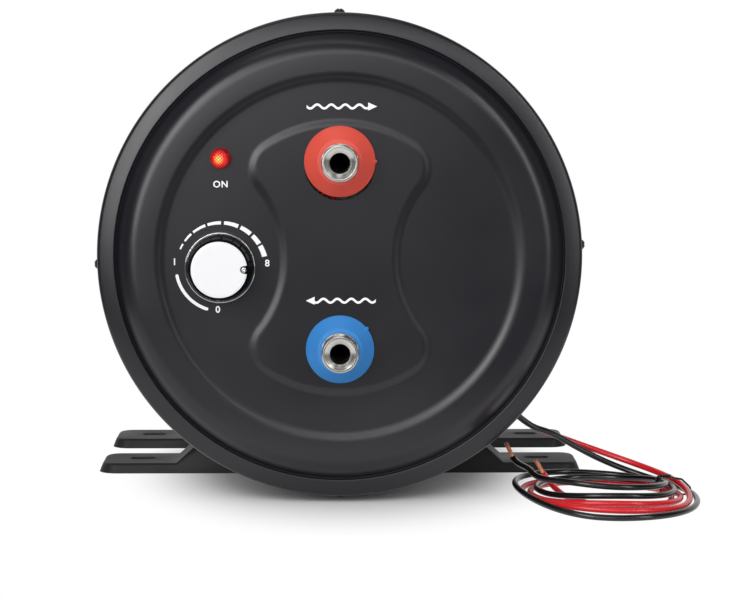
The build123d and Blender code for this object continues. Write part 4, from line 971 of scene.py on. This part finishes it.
@dataclass
class Lamp:
    """Indicator lamp's domed lens with small square facets, which fade out towards the rim."""

    x: float = -67.9
    z: float = 201.3
    radius: float = 5.9
    rim: float = 1.3
    dome: float = 4.6
    facet: float = 1.5
    facet_depth: float = 0.3
    facet_lean: float = 0.3
    fade_end: float = 0.92
    fade: float = 0.2
    rows: int = 48
    steps: int = 192

    def build(self) -> None:
        """Dome over a rim, its height lowered in a grid of small pyramids."""
        share = np.linspace(0, 1, self.rows)[:, None]
        angle = np.linspace(0, 2 * math.pi, self.steps, endpoint=False)[None]
        radius = self.radius * np.sin(share * math.pi / 2)
        aside, up = radius * np.cos(angle), radius * np.sin(angle)
        height = self.rim + self.dome * np.cos(share * math.pi / 2) + 0 * angle
        fade = np.clip((self.fade_end - share) / self.fade, 0, 1)
        waves = [np.abs((place / self.facet) % 1.0 - 0.5) * 2
                 for place in (aside + self.facet_lean * up, up - self.facet_lean * aside)]
        rows = [np.stack([aside, height - self.facet_depth * fade * np.maximum(*waves), up], -1)]
        for reach, low in ((self.radius, self.rim), (self.radius, 0.0), (0.0, 0.0)):
            rows.append(np.stack([reach * np.cos(angle), low + 0 * angle, reach * np.sin(angle)], -1))
        aside, height, up = np.concatenate(rows).reshape(-1, 3).T
        points = np.stack([self.x + aside, front_y(PANEL_HEIGHT + height), self.z + up], -1)
        mesh = new_mesh("lamp_lens", points, grid_faces(self.rows + 3, self.steps, False, True))
        add_piece("lamp_lens", mesh, LENS, Body.HEATER, ("indicator_lens",))


@dataclass
class PanelPrint:
    """White print on the panel: the dial's marks, a word, plain numbers and flow arrows.

    bars are degrees from and to, words text with X, Z and size, and flows X, Z and the way that they point.
    """

    centre: Pair = DIAL
    lift: float = 0.06
    inner_r: float = 24.6
    thin: float = 0.9
    thick: float = 3.0
    bars: tuple[Pair, ...] = ((156, 147), (144, 130), (128, 108.5), (107, 88), (85.5, 65.5), (63.5, 47),
                              (45, 30.5), (29, 13))
    bar_gap: float = 0.7
    bar_steps: int = 24
    sweep: Pair = (189.0, 254.0)
    sweep_r: float = 25.2
    sweep_width: float = 1.8
    sweep_steps: int = 96
    words: tuple[tuple[str, float, float, float], ...] = (
        ("ON", -68.0, 186.2, 5.2), ("1", -94.6, 141.8, 5.4), ("8", -41.6, 141.0, 5.4),
        ("0", -70.0, 114.4, 5.4))
    word_weight: float = 0.018
    word_spacing: float = 1.12
    flows: tuple[Triple, ...] = ((1.2, 230.6, 1.0), (0.5, 119.6, -1.0))
    flow_length: float = 40.0
    flow_wave: float = 1.1
    flow_period: float = 8.0
    flow_width: float = 1.3
    flow_steps: int = 120
    head_length: float = 5.0
    head_half: float = 2.3
    head_tip: float = 0.02
    head_steps: int = 12

    def bar(self, start: float, end: float) -> Grid:
        """Ring sector whose thickness grows from the first mark to the last with its angle."""
        degrees = np.linspace(start - self.bar_gap, end + self.bar_gap, self.bar_steps)
        share = (self.bars[0][0] - degrees) / (self.bars[0][0] - self.bars[-1][1])
        outer = self.inner_r + self.thin + (self.thick - self.thin) * share
        return self.flat(np.stack([np.full_like(outer, self.inner_r), outer]), np.radians(degrees))

    def flat(self, radius: Array, angle: Array) -> Grid:
        """Flat grid on the panel from radii and angles about the dial's middle."""
        level = np.full_like(radius, front_y(PANEL_HEIGHT + self.lift))
        points = np.stack([self.centre[0] + radius * np.cos(angle), level,
                           self.centre[1] + radius * np.sin(angle)], -1)
        return points.reshape(-1, 3), grid_faces(*radius.shape, False, False)

    def sweep_band(self) -> Grid:
        """Even band with round ends: its half width shrinks as a circle does at either end."""
        half = self.sweep_width / 2
        degrees = np.linspace(*self.sweep, self.sweep_steps)
        along = np.radians(degrees - self.sweep[0]) * self.sweep_r
        from_end = np.minimum(along, along[-1] - along)
        width = np.sqrt(np.clip(half**2 - (half - np.minimum(from_end, half)) ** 2, 1e-4, None))
        return self.flat(np.stack([self.sweep_r - width, self.sweep_r + width]), np.radians(degrees))

    def flow(self, x: float, z: float, way: float) -> Grid:
        """Wavy arrow: a band about a sine line, and a head whose half width falls to a point."""
        end, neck = self.flow_length / 2, self.flow_length / 2 - self.head_length
        line, head = np.linspace(-end, neck, self.flow_steps), np.linspace(neck, end, self.head_steps)
        phase = 2 * math.pi * line / self.flow_period
        lean = np.arctan(self.flow_wave * 2 * math.pi / self.flow_period * np.cos(phase))
        along = np.concatenate([line, head])
        middle = np.concatenate([self.flow_wave * np.sin(phase), 0 * head])
        half = np.concatenate([self.flow_width / 2 / np.cos(lean),
                               np.linspace(self.head_half, self.head_tip, self.head_steps)])
        level = np.full_like(along, front_y(PLATEAU_HEIGHT + self.lift))
        rows = [np.stack([x + way * along, level, z + middle + side * half], -1) for side in (-1, 1)]
        return np.concatenate(rows), grid_faces(2, len(along), False, False)

    def word(self, text: str, x: float, z: float, size: float) -> Mesh:
        """One word in a plain sans face, made a mesh and laid on the panel."""
        curve = bpy.data.curves.new(text, "FONT")
        curve.body, curve.size, curve.align_x, curve.align_y = text, size * MM, "CENTER", "CENTER"
        curve.offset, curve.space_character = self.word_weight * size * MM, self.word_spacing
        curve.resolution_u = 6
        holder = link_new("word", curve)
        mesh = evaluated(holder)
        bpy.data.objects.remove(holder)
        across_word, up_word, _ = vertex_places(mesh).T
        inside = Hourglass().depth(np.array(x), np.array(z - DRUM_MIDDLE[2])) > 0
        level = front_y((PLATEAU_HEIGHT if inside else PANEL_HEIGHT) + self.lift) * MM
        places = [x * MM + across_word, np.full(len(up_word), level), z * MM + up_word]
        move_vertices(mesh, np.stack(places, 1))
        return mesh

    def build(self) -> None:
        """Marks, arrows and words."""
        dial = joined(*[self.bar(*bar) for bar in self.bars], self.sweep_band())
        flows = joined(*[self.flow(*flow) for flow in self.flows])
        prints = {"dial_marks": new_mesh("dial_marks", *dial), "flow_marks": new_mesh("flow_marks", *flows)}
        for text, *place in self.words:
            prints[f"word_{text.lower()}"] = self.word(text, *place)
        for name, mesh in prints.items():
            add_piece(name, mesh, WHITE_INK, Body.HEATER, ())


# Leads

def eased(turn: Array, span: Pair) -> Array:
    """Smooth step from 0 to 1 over a span of turn."""
    share = np.clip((turn - span[0]) / (span[1] - span[0]), 0, 1)
    return share**2 * (3 - 2 * share)


@dataclass
class Coil:
    """Two leads in loops that open like a fan: shrinking ellipses that share their right-hand end.

    Turns are degrees, clockwise seen from above, and spans are turns from and to. A landing is the height at
    which a lead comes in and the turn at which it lies, a tail the rise of its end and the span of that rise,
    and a fan the stops of turn and lift.
    """

    right: float = 205.0
    middle_y: float = -166.0
    half_x: float = 52.0
    half_y: float = 58.0
    step_x: float = 4.9
    step_y: float = 7.0
    drift_y: float = 2.0
    skew: float = 6.0
    pair: float = 4.4
    layer: float = 4.5
    lowest: float = 2.5
    tie_angle: float = -20.0
    tie_lift: float = 1.9
    tie_power: int = 6
    fan_power: float = 0.6
    end_span: Pair = (720, 850)
    red_tuck: float = 8.0
    red_landing: Pair = (25.0, 40.0)
    red_tail: tuple[float, Pair] = (5.0, (760, 870))
    red_fan: tuple[Pair, ...] = (
        (-40, 0.0), (60, 4.4), (250, 4.4), (400, 8.0), (430, 8.0), (520, 3.0), (600, 3.0), (720, 0.0))
    black_inset: float = 8.9
    inset_span: Pair = (LEAD_START, -15)
    black_cross: float = 8.2
    cross_span: Pair = (175, 285)
    layer_spans: tuple[Pair, ...] = ((95, 175), (640, 760))
    black_landing: Pair = (23.0, -10.0)
    black_tail: tuple[float, Pair] = (6.0, (800, 900))
    black_fan: tuple[Pair, ...] = (
        (95, 0.0), (200, 5.0), (250, 5.0), (400, 7.0), (430, 7.0), (520, 1.5), (600, 1.5), (740, 6.5),
        (830, 6.5), (890, 1.5))

    def fan(self, turn: Array, stops: tuple[Pair, ...]) -> Array:
        """Lift of the loops away from the tie, eased from stop to stop."""
        steps = [(high - low) * eased(turn, (start, end))
                 for (start, low), (end, high) in zip(stops, stops[1:])]
        return sum(steps) * ((1 - np.cos(np.radians(turn - self.tie_angle))) / 2) ** self.fan_power

    def place(self, turn: Array, aside: Array, height: Array) -> Array:
        """Points of the loops: X and Y of an ellipse that shrinks with each turn, Z lifted at the tie."""
        loops, angle = turn / 360, np.radians(turn)
        left = (1 - np.cos(angle)) / 2
        half_x = self.half_x - self.step_x * loops + aside
        half_y = self.half_y - self.step_y * loops + aside
        right = self.right - self.step_x * loops + aside
        middle = self.middle_y + self.drift_y * loops + self.skew * left
        near_tie = np.maximum(0, np.cos(angle - math.radians(self.tie_angle)))
        lift = self.tie_lift * near_tie**self.tie_power
        return np.stack([right - 2 * half_x * left, middle - half_y * np.sin(angle),
                         self.lowest + height + lift], 1)

    def landing(self, turn: Array, drop: float, lands: float) -> Array:
        """Height of a lead that comes down to the floor: a parabola that ends level."""
        return drop * np.maximum(0, (lands - turn) / (lands - LEAD_START)) ** 2

    def tail(self, turn: Array, rise: float, span: Pair) -> Array:
        """Height of a lead's end: a parabola that starts level."""
        return rise * np.maximum(0, (turn - span[0]) / (span[1] - span[0])) ** 2

    def red(self, turn: Array) -> Array:
        """Red lead: one spiral, tucked inwards and lifted at its end."""
        aside = -self.pair / 2 - self.red_tuck * eased(turn, self.end_span)
        height = self.landing(turn, *self.red_landing) + self.tail(turn, *self.red_tail)
        return self.place(turn, aside, height + self.fan(turn, self.red_fan))

    def black(self, turn: Array) -> Array:
        """Black lead: under the red one to its outer side, over it after half a turn, at last over itself."""
        aside = self.pair / 2 - self.black_inset * (1 - eased(turn, self.inset_span))
        aside = aside - self.black_cross * (eased(turn, self.cross_span) - eased(turn, self.end_span))
        height = self.layer * sum(eased(turn, span) for span in self.layer_spans)
        height = height + self.landing(turn, *self.black_landing) + self.tail(turn, *self.black_tail)
        return self.place(turn, aside, height + self.fan(turn, self.black_fan))


@dataclass
class Lead:
    """One lead from the grommet to its stripped end, as a smooth cord.

    line gives points of its loops from turns. tip and tip_way are the place and direction of the standing
    end. length, in metres, is not used.
    """

    name: str
    finish: Finish
    slot: str
    exit_y: float
    line: Callable[[Array], Array]
    end_turn: float
    tip: Triple
    tip_way: Triple
    length: float
    radius: float = WIRE_R
    exit_angle: float = -43.0
    exit_r: float = 141.25
    turn_r: float = 154.0
    run_in: float = 14.0
    step: float = 15.0
    bare: float = 10.0
    strand_r: float = 0.3
    strands: int = 12
    core_strands: int = 3
    strand_rings: Pair = (0.32, 0.92)
    strand_twist: float = 0.32
    strand_spread: float = 0.25
    strand_short: float = 0.06
    strand_aside: Triple = (0.2, 0.9, 0.1)

    def route(self) -> Array:
        """Control points: straight out of the grommet, straight into the loops, and the standing end."""
        angle = math.radians(self.exit_angle)
        out = np.array([math.cos(angle), 0.0, math.sin(angle)])
        centre = np.array([0.0, self.exit_y, DRUM_MIDDLE[2]])
        first, ahead = self.line(np.array([LEAD_START, LEAD_START + 0.02]))
        way = (ahead - first) / np.linalg.norm(ahead - first)
        joint = first - way * 2 * self.radius
        loops = self.line(np.append(np.arange(LEAD_START, self.end_turn, self.step), self.end_turn))
        tip = np.array(self.tip)
        rise = np.array(self.tip_way) / np.linalg.norm(self.tip_way)
        return np.vstack([centre + out * self.exit_r, centre + out * self.turn_r, joint - way * self.run_in,
                          joint, loops, tip, tip + rise * 2 * self.radius])

    def strand_mesh(self, base: Array, way: Array) -> Mesh:
        """Bare copper: strands on two rings, twisted together and opening a little towards the tip."""
        axes = (way, *across(way, self.strand_aside))
        along = np.linspace(-1.0, self.bare, 28)
        parts = []
        for strand in range(self.strands):
            core = strand < self.core_strands
            turn = 2 * math.pi * strand / (self.core_strands if core else self.strands - self.core_strands)
            path = np.minimum(along, self.bare * (1 - self.strand_short * ((strand * 7) % 5)))
            opening = 1 + self.strand_spread * np.clip(path / self.bare, 0, 1) ** 2
            spread = self.strand_rings[0 if core else 1] * opening
            points = twisted(base, axes, path, spread, turn + path * self.strand_twist)
            keep = np.append(np.diff(path) > 1e-6, False)
            parts.append(tube(points[keep], self.strand_r, 8))
        return new_mesh(f"{self.name}_strands", *joined(*parts))

    def build(self, carried: list[Object]) -> None:
        """Spline with a round bevel, and its bare end.

        Args:
            carried: not used.
        """
        route, name = self.route(), self.name
        curve = bpy.data.curves.new(f"{name}_wire", "CURVE")
        curve.dimensions, curve.bevel_depth, curve.bevel_resolution = "3D", self.radius * MM, 5
        curve.resolution_u, curve.use_fill_caps = 6, True
        spline = curve.splines.new("NURBS")
        spline.points.add(len(route) - 1)
        spline.points.foreach_set("co", np.hstack([route * MM, np.ones((len(route), 1))]).ravel())
        spline.order_u, spline.use_endpoint_u = 3, True
        wire = add_piece(f"{name}_wire", curve, self.finish, Body.HEATER, (f"{name}_lead", f"{name}_coil"))
        way = route[-1] - route[-2]
        strands = self.strand_mesh(route[-1], way / np.linalg.norm(way))
        end = add_piece(f"{name}_strands", strands, COPPER, Body.HEATER, (f"{name}_bare_end",))


@dataclass
class Tie:
    """Coated wire tie drawn round the bundle of loops, its ends twisted together."""

    coil: Coil
    radius: float = 0.6
    wire_r: float = WIRE_R
    slack: float = 0.25
    loops: int = 3
    steps: int = 241
    sides: int = 10
    tail: float = 7.0
    tail_share: float = 0.9
    tail_way: Triple = (0.75, -0.55, 0.1)
    twist: float = 3.4

    def build(self) -> Object:
        """Loop round the bundle: an arc about the wire that reaches furthest in each direction."""
        turns = self.coil.tie_angle + 360.0 * np.arange(self.loops)
        places = np.concatenate([self.coil.red(turns), self.coil.black(turns)])
        ahead = np.diff(self.coil.red(turns[1] + np.array([-1.0, 1.0])), axis=0)[0]
        aside = np.array([ahead[1], -ahead[0], 0.0]) / np.hypot(*ahead[:2])
        up = np.array([0.0, 0.0, 1.0])
        middle = places.mean(axis=0)
        flat = np.stack([(places - middle) @ aside, (places - middle) @ up], 1)
        angle = np.linspace(math.pi / 2, math.pi * 5 / 2, self.steps)
        out = np.stack([np.cos(angle), np.sin(angle)], 1)
        furthest = flat[np.argmax(flat @ out.T, axis=0)]
        outline = furthest + (self.wire_r + self.slack + self.radius) * out
        loop = middle + outline[:, :1] * aside + outline[:, 1:] * up
        parts = [tube(refined(loop, 1.0), self.radius, self.sides)]
        along = np.linspace(0, self.tail, 60)
        way = np.array(self.tail_way) / np.linalg.norm(self.tail_way)
        axes = (way, np.cross(way, up), up)
        thin = self.radius * self.tail_share
        for start in (0.0, math.pi):
            path = twisted(loop[0], axes, along, thin, start + 2 * math.pi * along / self.twist)
            parts.append(tube(path, thin, self.sides))
        mesh = new_mesh("tie", *joined(*parts))
        return add_piece("tie", mesh, TIE_PLASTIC, Body.HEATER, ("coil_tie",))


# Studio

@dataclass
class Studio:
    """Pale floor, soft light, white surroundings and the camera.

    A lamp is its name, place, aim, width and height, and power in watts.
    """

    eye: Triple = (-1.55, -1587.9, 267.7)
    yaw: float = -0.8385
    pitch: float = 5.948
    lens: float = 119.88
    sensor: float = 36.0
    paper: str = "#F6F6F6"
    floor_half: float = 430.0
    floor_middle: Pair = (4.0, -35.0)
    floor_fade: Pair = (103.0, 168.0)
    fade_span: Pair = (0.7, 1.4)
    around: float = 0.26
    front_share: float = 0.12
    backdrop_span: Pair = (0.1, 0.8)
    lamps: tuple[tuple[str, Triple, Triple, Pair, float], ...] = (
        ("softbox_left", (-820, -1400, 720), (0, -60, 150), (560, 1250), 12.5),
        ("softbox_fill", (-420, -1700, 500), (0, -60, 150), (950, 680), 5.0),
        ("softbox_front", (160, -1600, 840), (0, -60, 150), (1400, 300), 4.0),
        ("softbox_right", (1010, -1160, 640), (0, -60, 150), (330, 1250), 6.0),
        ("softbox_top", (-150, -350, 1400), (0, -100, 100), (1000, 400), 1.5))

    def build(self) -> None:
        """Make world, floor, lamps and camera."""
        self.world()
        self.floor()
        for lamp in self.lamps:
            self.lamp(*lamp)
        self.camera()

    @staticmethod
    def seen_by(tree: NodeTree) -> NodeSocket:
        """Share that is 1 for camera, glossy and transmission rays."""
        rays = add_node(tree, "ShaderNodeLightPath").outputs
        share = rays["Is Camera Ray"]
        for kind in ("Is Glossy Ray", "Is Transmission Ray"):
            either = add_node(tree, "ShaderNodeMath", {"operation": "MAXIMUM"}, {0: share, 1: rays[kind]})
            share = either.outputs[0]
        return share

    def world(self) -> None:
        """White to the camera and behind the heater, dimmer behind the camera, even grey light elsewhere."""
        world = bpy.data.worlds.new("studio")
        bpy.context.scene.world = world
        tree = empty_tree(world)
        light = add_node(tree, "ShaderNodeBackground", {"Color": WHITE, "Strength": self.around})
        place = add_node(tree, "ShaderNodeTexCoord").outputs["Generated"]
        way = add_node(tree, "ShaderNodeSeparateXYZ", links={0: place})
        backdrop = add_node(tree, "ShaderNodeMapRange", {
            "From Min": self.backdrop_span[0], "From Max": self.backdrop_span[1], "To Min": self.front_share,
            "To Max": 1.0, "interpolation_type": "SMOOTHSTEP"}, {"Value": way.outputs["Y"]})
        camera = add_node(tree, "ShaderNodeLightPath").outputs["Is Camera Ray"]
        seen = add_node(tree, "ShaderNodeMath", {"operation": "MAXIMUM"}, {
            0: backdrop.outputs["Result"], 1: camera})
        white = add_node(tree, "ShaderNodeBackground", {"Color": WHITE}, {"Strength": seen.outputs[0]})
        mix = add_node(tree, "ShaderNodeMixShader", links={
            0: self.seen_by(tree), 1: light.outputs[0], 2: white.outputs[0]})
        add_node(tree, "ShaderNodeOutputWorld", links={"Surface": mix.outputs[0]})

    def floor(self) -> None:
        """Pale floor that turns into the white surroundings away from the heater."""
        corners = self.floor_half * np.array([(-1, -1, 0), (1, -1, 0), (1, 1, 0), (-1, 1, 0)])
        mesh = bpy.data.meshes.new("floor")
        mesh.from_pydata((corners * MM).tolist(), [], [[0, 1, 2, 3]])
        made = bpy.data.materials.new("pale_paper_floor")
        tree = empty_tree(made)
        paper = add_node(tree, "ShaderNodeBsdfDiffuse", {"Color": to_linear(self.paper)})
        white = add_node(tree, "ShaderNodeEmission", {"Color": WHITE, "Strength": 1.0})
        place = add_node(tree, "ShaderNodeTexCoord").outputs["Object"]
        shares = add_node(tree, "ShaderNodeMapping", {
            "vector_type": "TEXTURE", "Location": (self.floor_middle[0] * MM, self.floor_middle[1] * MM, 0.0),
            "Scale": (self.floor_fade[0] * MM, self.floor_fade[1] * MM, 1.0)}, {"Vector": place})
        away = add_node(tree, "ShaderNodeVectorMath", {"operation": "LENGTH"}, {0: shares.outputs["Vector"]})
        far = add_node(tree, "ShaderNodeMapRange", {
            "From Min": self.fade_span[0], "From Max": self.fade_span[1], "interpolation_type": "SMOOTHSTEP"},
            {"Value": away.outputs["Value"]})
        share = add_node(tree, "ShaderNodeMath", {"operation": "MULTIPLY"}, {
            0: far.outputs["Result"], 1: self.seen_by(tree)})
        mix = add_node(tree, "ShaderNodeMixShader", links={
            0: share.outputs[0], 1: paper.outputs[0], 2: white.outputs[0]})
        add_node(tree, "ShaderNodeOutputMaterial", links={"Surface": mix.outputs[0]})
        mesh.materials.append(made)
        obj = link_new("floor", mesh)

    def lamp(self, name: str, place: Triple, aim: Triple, size: Pair, power: float) -> None:
        """Rectangular soft lamp.

        Args:
            name: name of the lamp.
            place: where it stands, in millimetres.
            aim: the point that it faces.
            size: its width and height.
            power: its power in watts.
        """
        data = bpy.data.lights.new(name, "AREA")
        data.shape, data.size, data.size_y, data.energy = "RECTANGLE", size[0] * MM, size[1] * MM, power
        obj = link_new(name, data)
        obj.location = Vector(place) * MM
        obj.rotation_euler = (Vector(aim) - Vector(place)).to_track_quat("-Z", "Y").to_euler()

    def camera(self) -> None:
        """Camera at the photograph's place."""
        data = bpy.data.cameras.new("camera")
        data.lens, data.sensor_width = self.lens, self.sensor
        obj = link_new("camera", data)
        yaw, pitch = math.radians(self.yaw), math.radians(self.pitch)
        ahead = Vector((-math.sin(yaw) * math.cos(pitch), math.cos(yaw) * math.cos(pitch), -math.sin(pitch)))
        obj.location = Vector(self.eye) * MM
        obj.rotation_euler = ahead.to_track_quat("-Z", "Y").to_euler()
        bpy.context.scene.camera = obj


def dress_solids(frame: dict[str, Any]) -> dict[str, str]:
    """Give every solid the finish of its slot.

    Args:
        frame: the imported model.

    Returns:
        Slot of each node.
    """
    slots = {part["node"]: part["material_slot"] for part in frame["record"]["subparts"]}
    for node, obj in frame["nodes"].items():
        dress(obj, SLOT_FINISHES[slots[node]])
    return slots


def main() -> None:
    """Load the solids, build the pieces in order and set up the studio."""
    logging.basicConfig(level=logging.INFO, format="%(name)s: %(message)s")
    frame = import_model()
    bpy.context.scene.view_settings.view_transform = "Standard"
    slots = dress_solids(frame)
    coil = Coil()
    Studio().build()
    tie = Tie(coil).build()
    Lead("red", RED_WIRE, "red_insulation", exit_y=-115.25, line=coil.red, end_turn=870.0,
         tip=(121.0, -147.0, 12.0), tip_way=(-0.4, 0.3, 0.7), length=0.859).build([tie])
    Lead("black", BLACK_WIRE, "black_insulation", exit_y=-120.05, line=coil.black, end_turn=900.0,
         tip=(103.9, -130.0, 18.9), tip_way=(-0.42, 0.2, 0.885), length=0.886).build([])
    EndCover("cover_front", "front_cover", Hourglass(), holes=(
        (0.0, 53.1, 20.0), (0.0, -53.1, 19.2), (-68.5, -5.2, 5.2), (-67.9, 57.3, 5.1))).build()
    EndCover("cover_rear", "rear_cover", steps=360).build()
    Shell().build()
    SmoothedSolids().build(frame, slots)
    PipeStub("hot_outlet", 199.4, RED_COLLAR, "red_collar", gate_angle=0.0).build()
    PipeStub("cold_inlet", 91.6, BLUE_COLLAR, "blue_collar", gate_angle=38.0, collar_r=19.6).build()
    Knob().build()
    Lamp().build()
    PanelPrint().build()


if __name__ == "__main__":
    main()
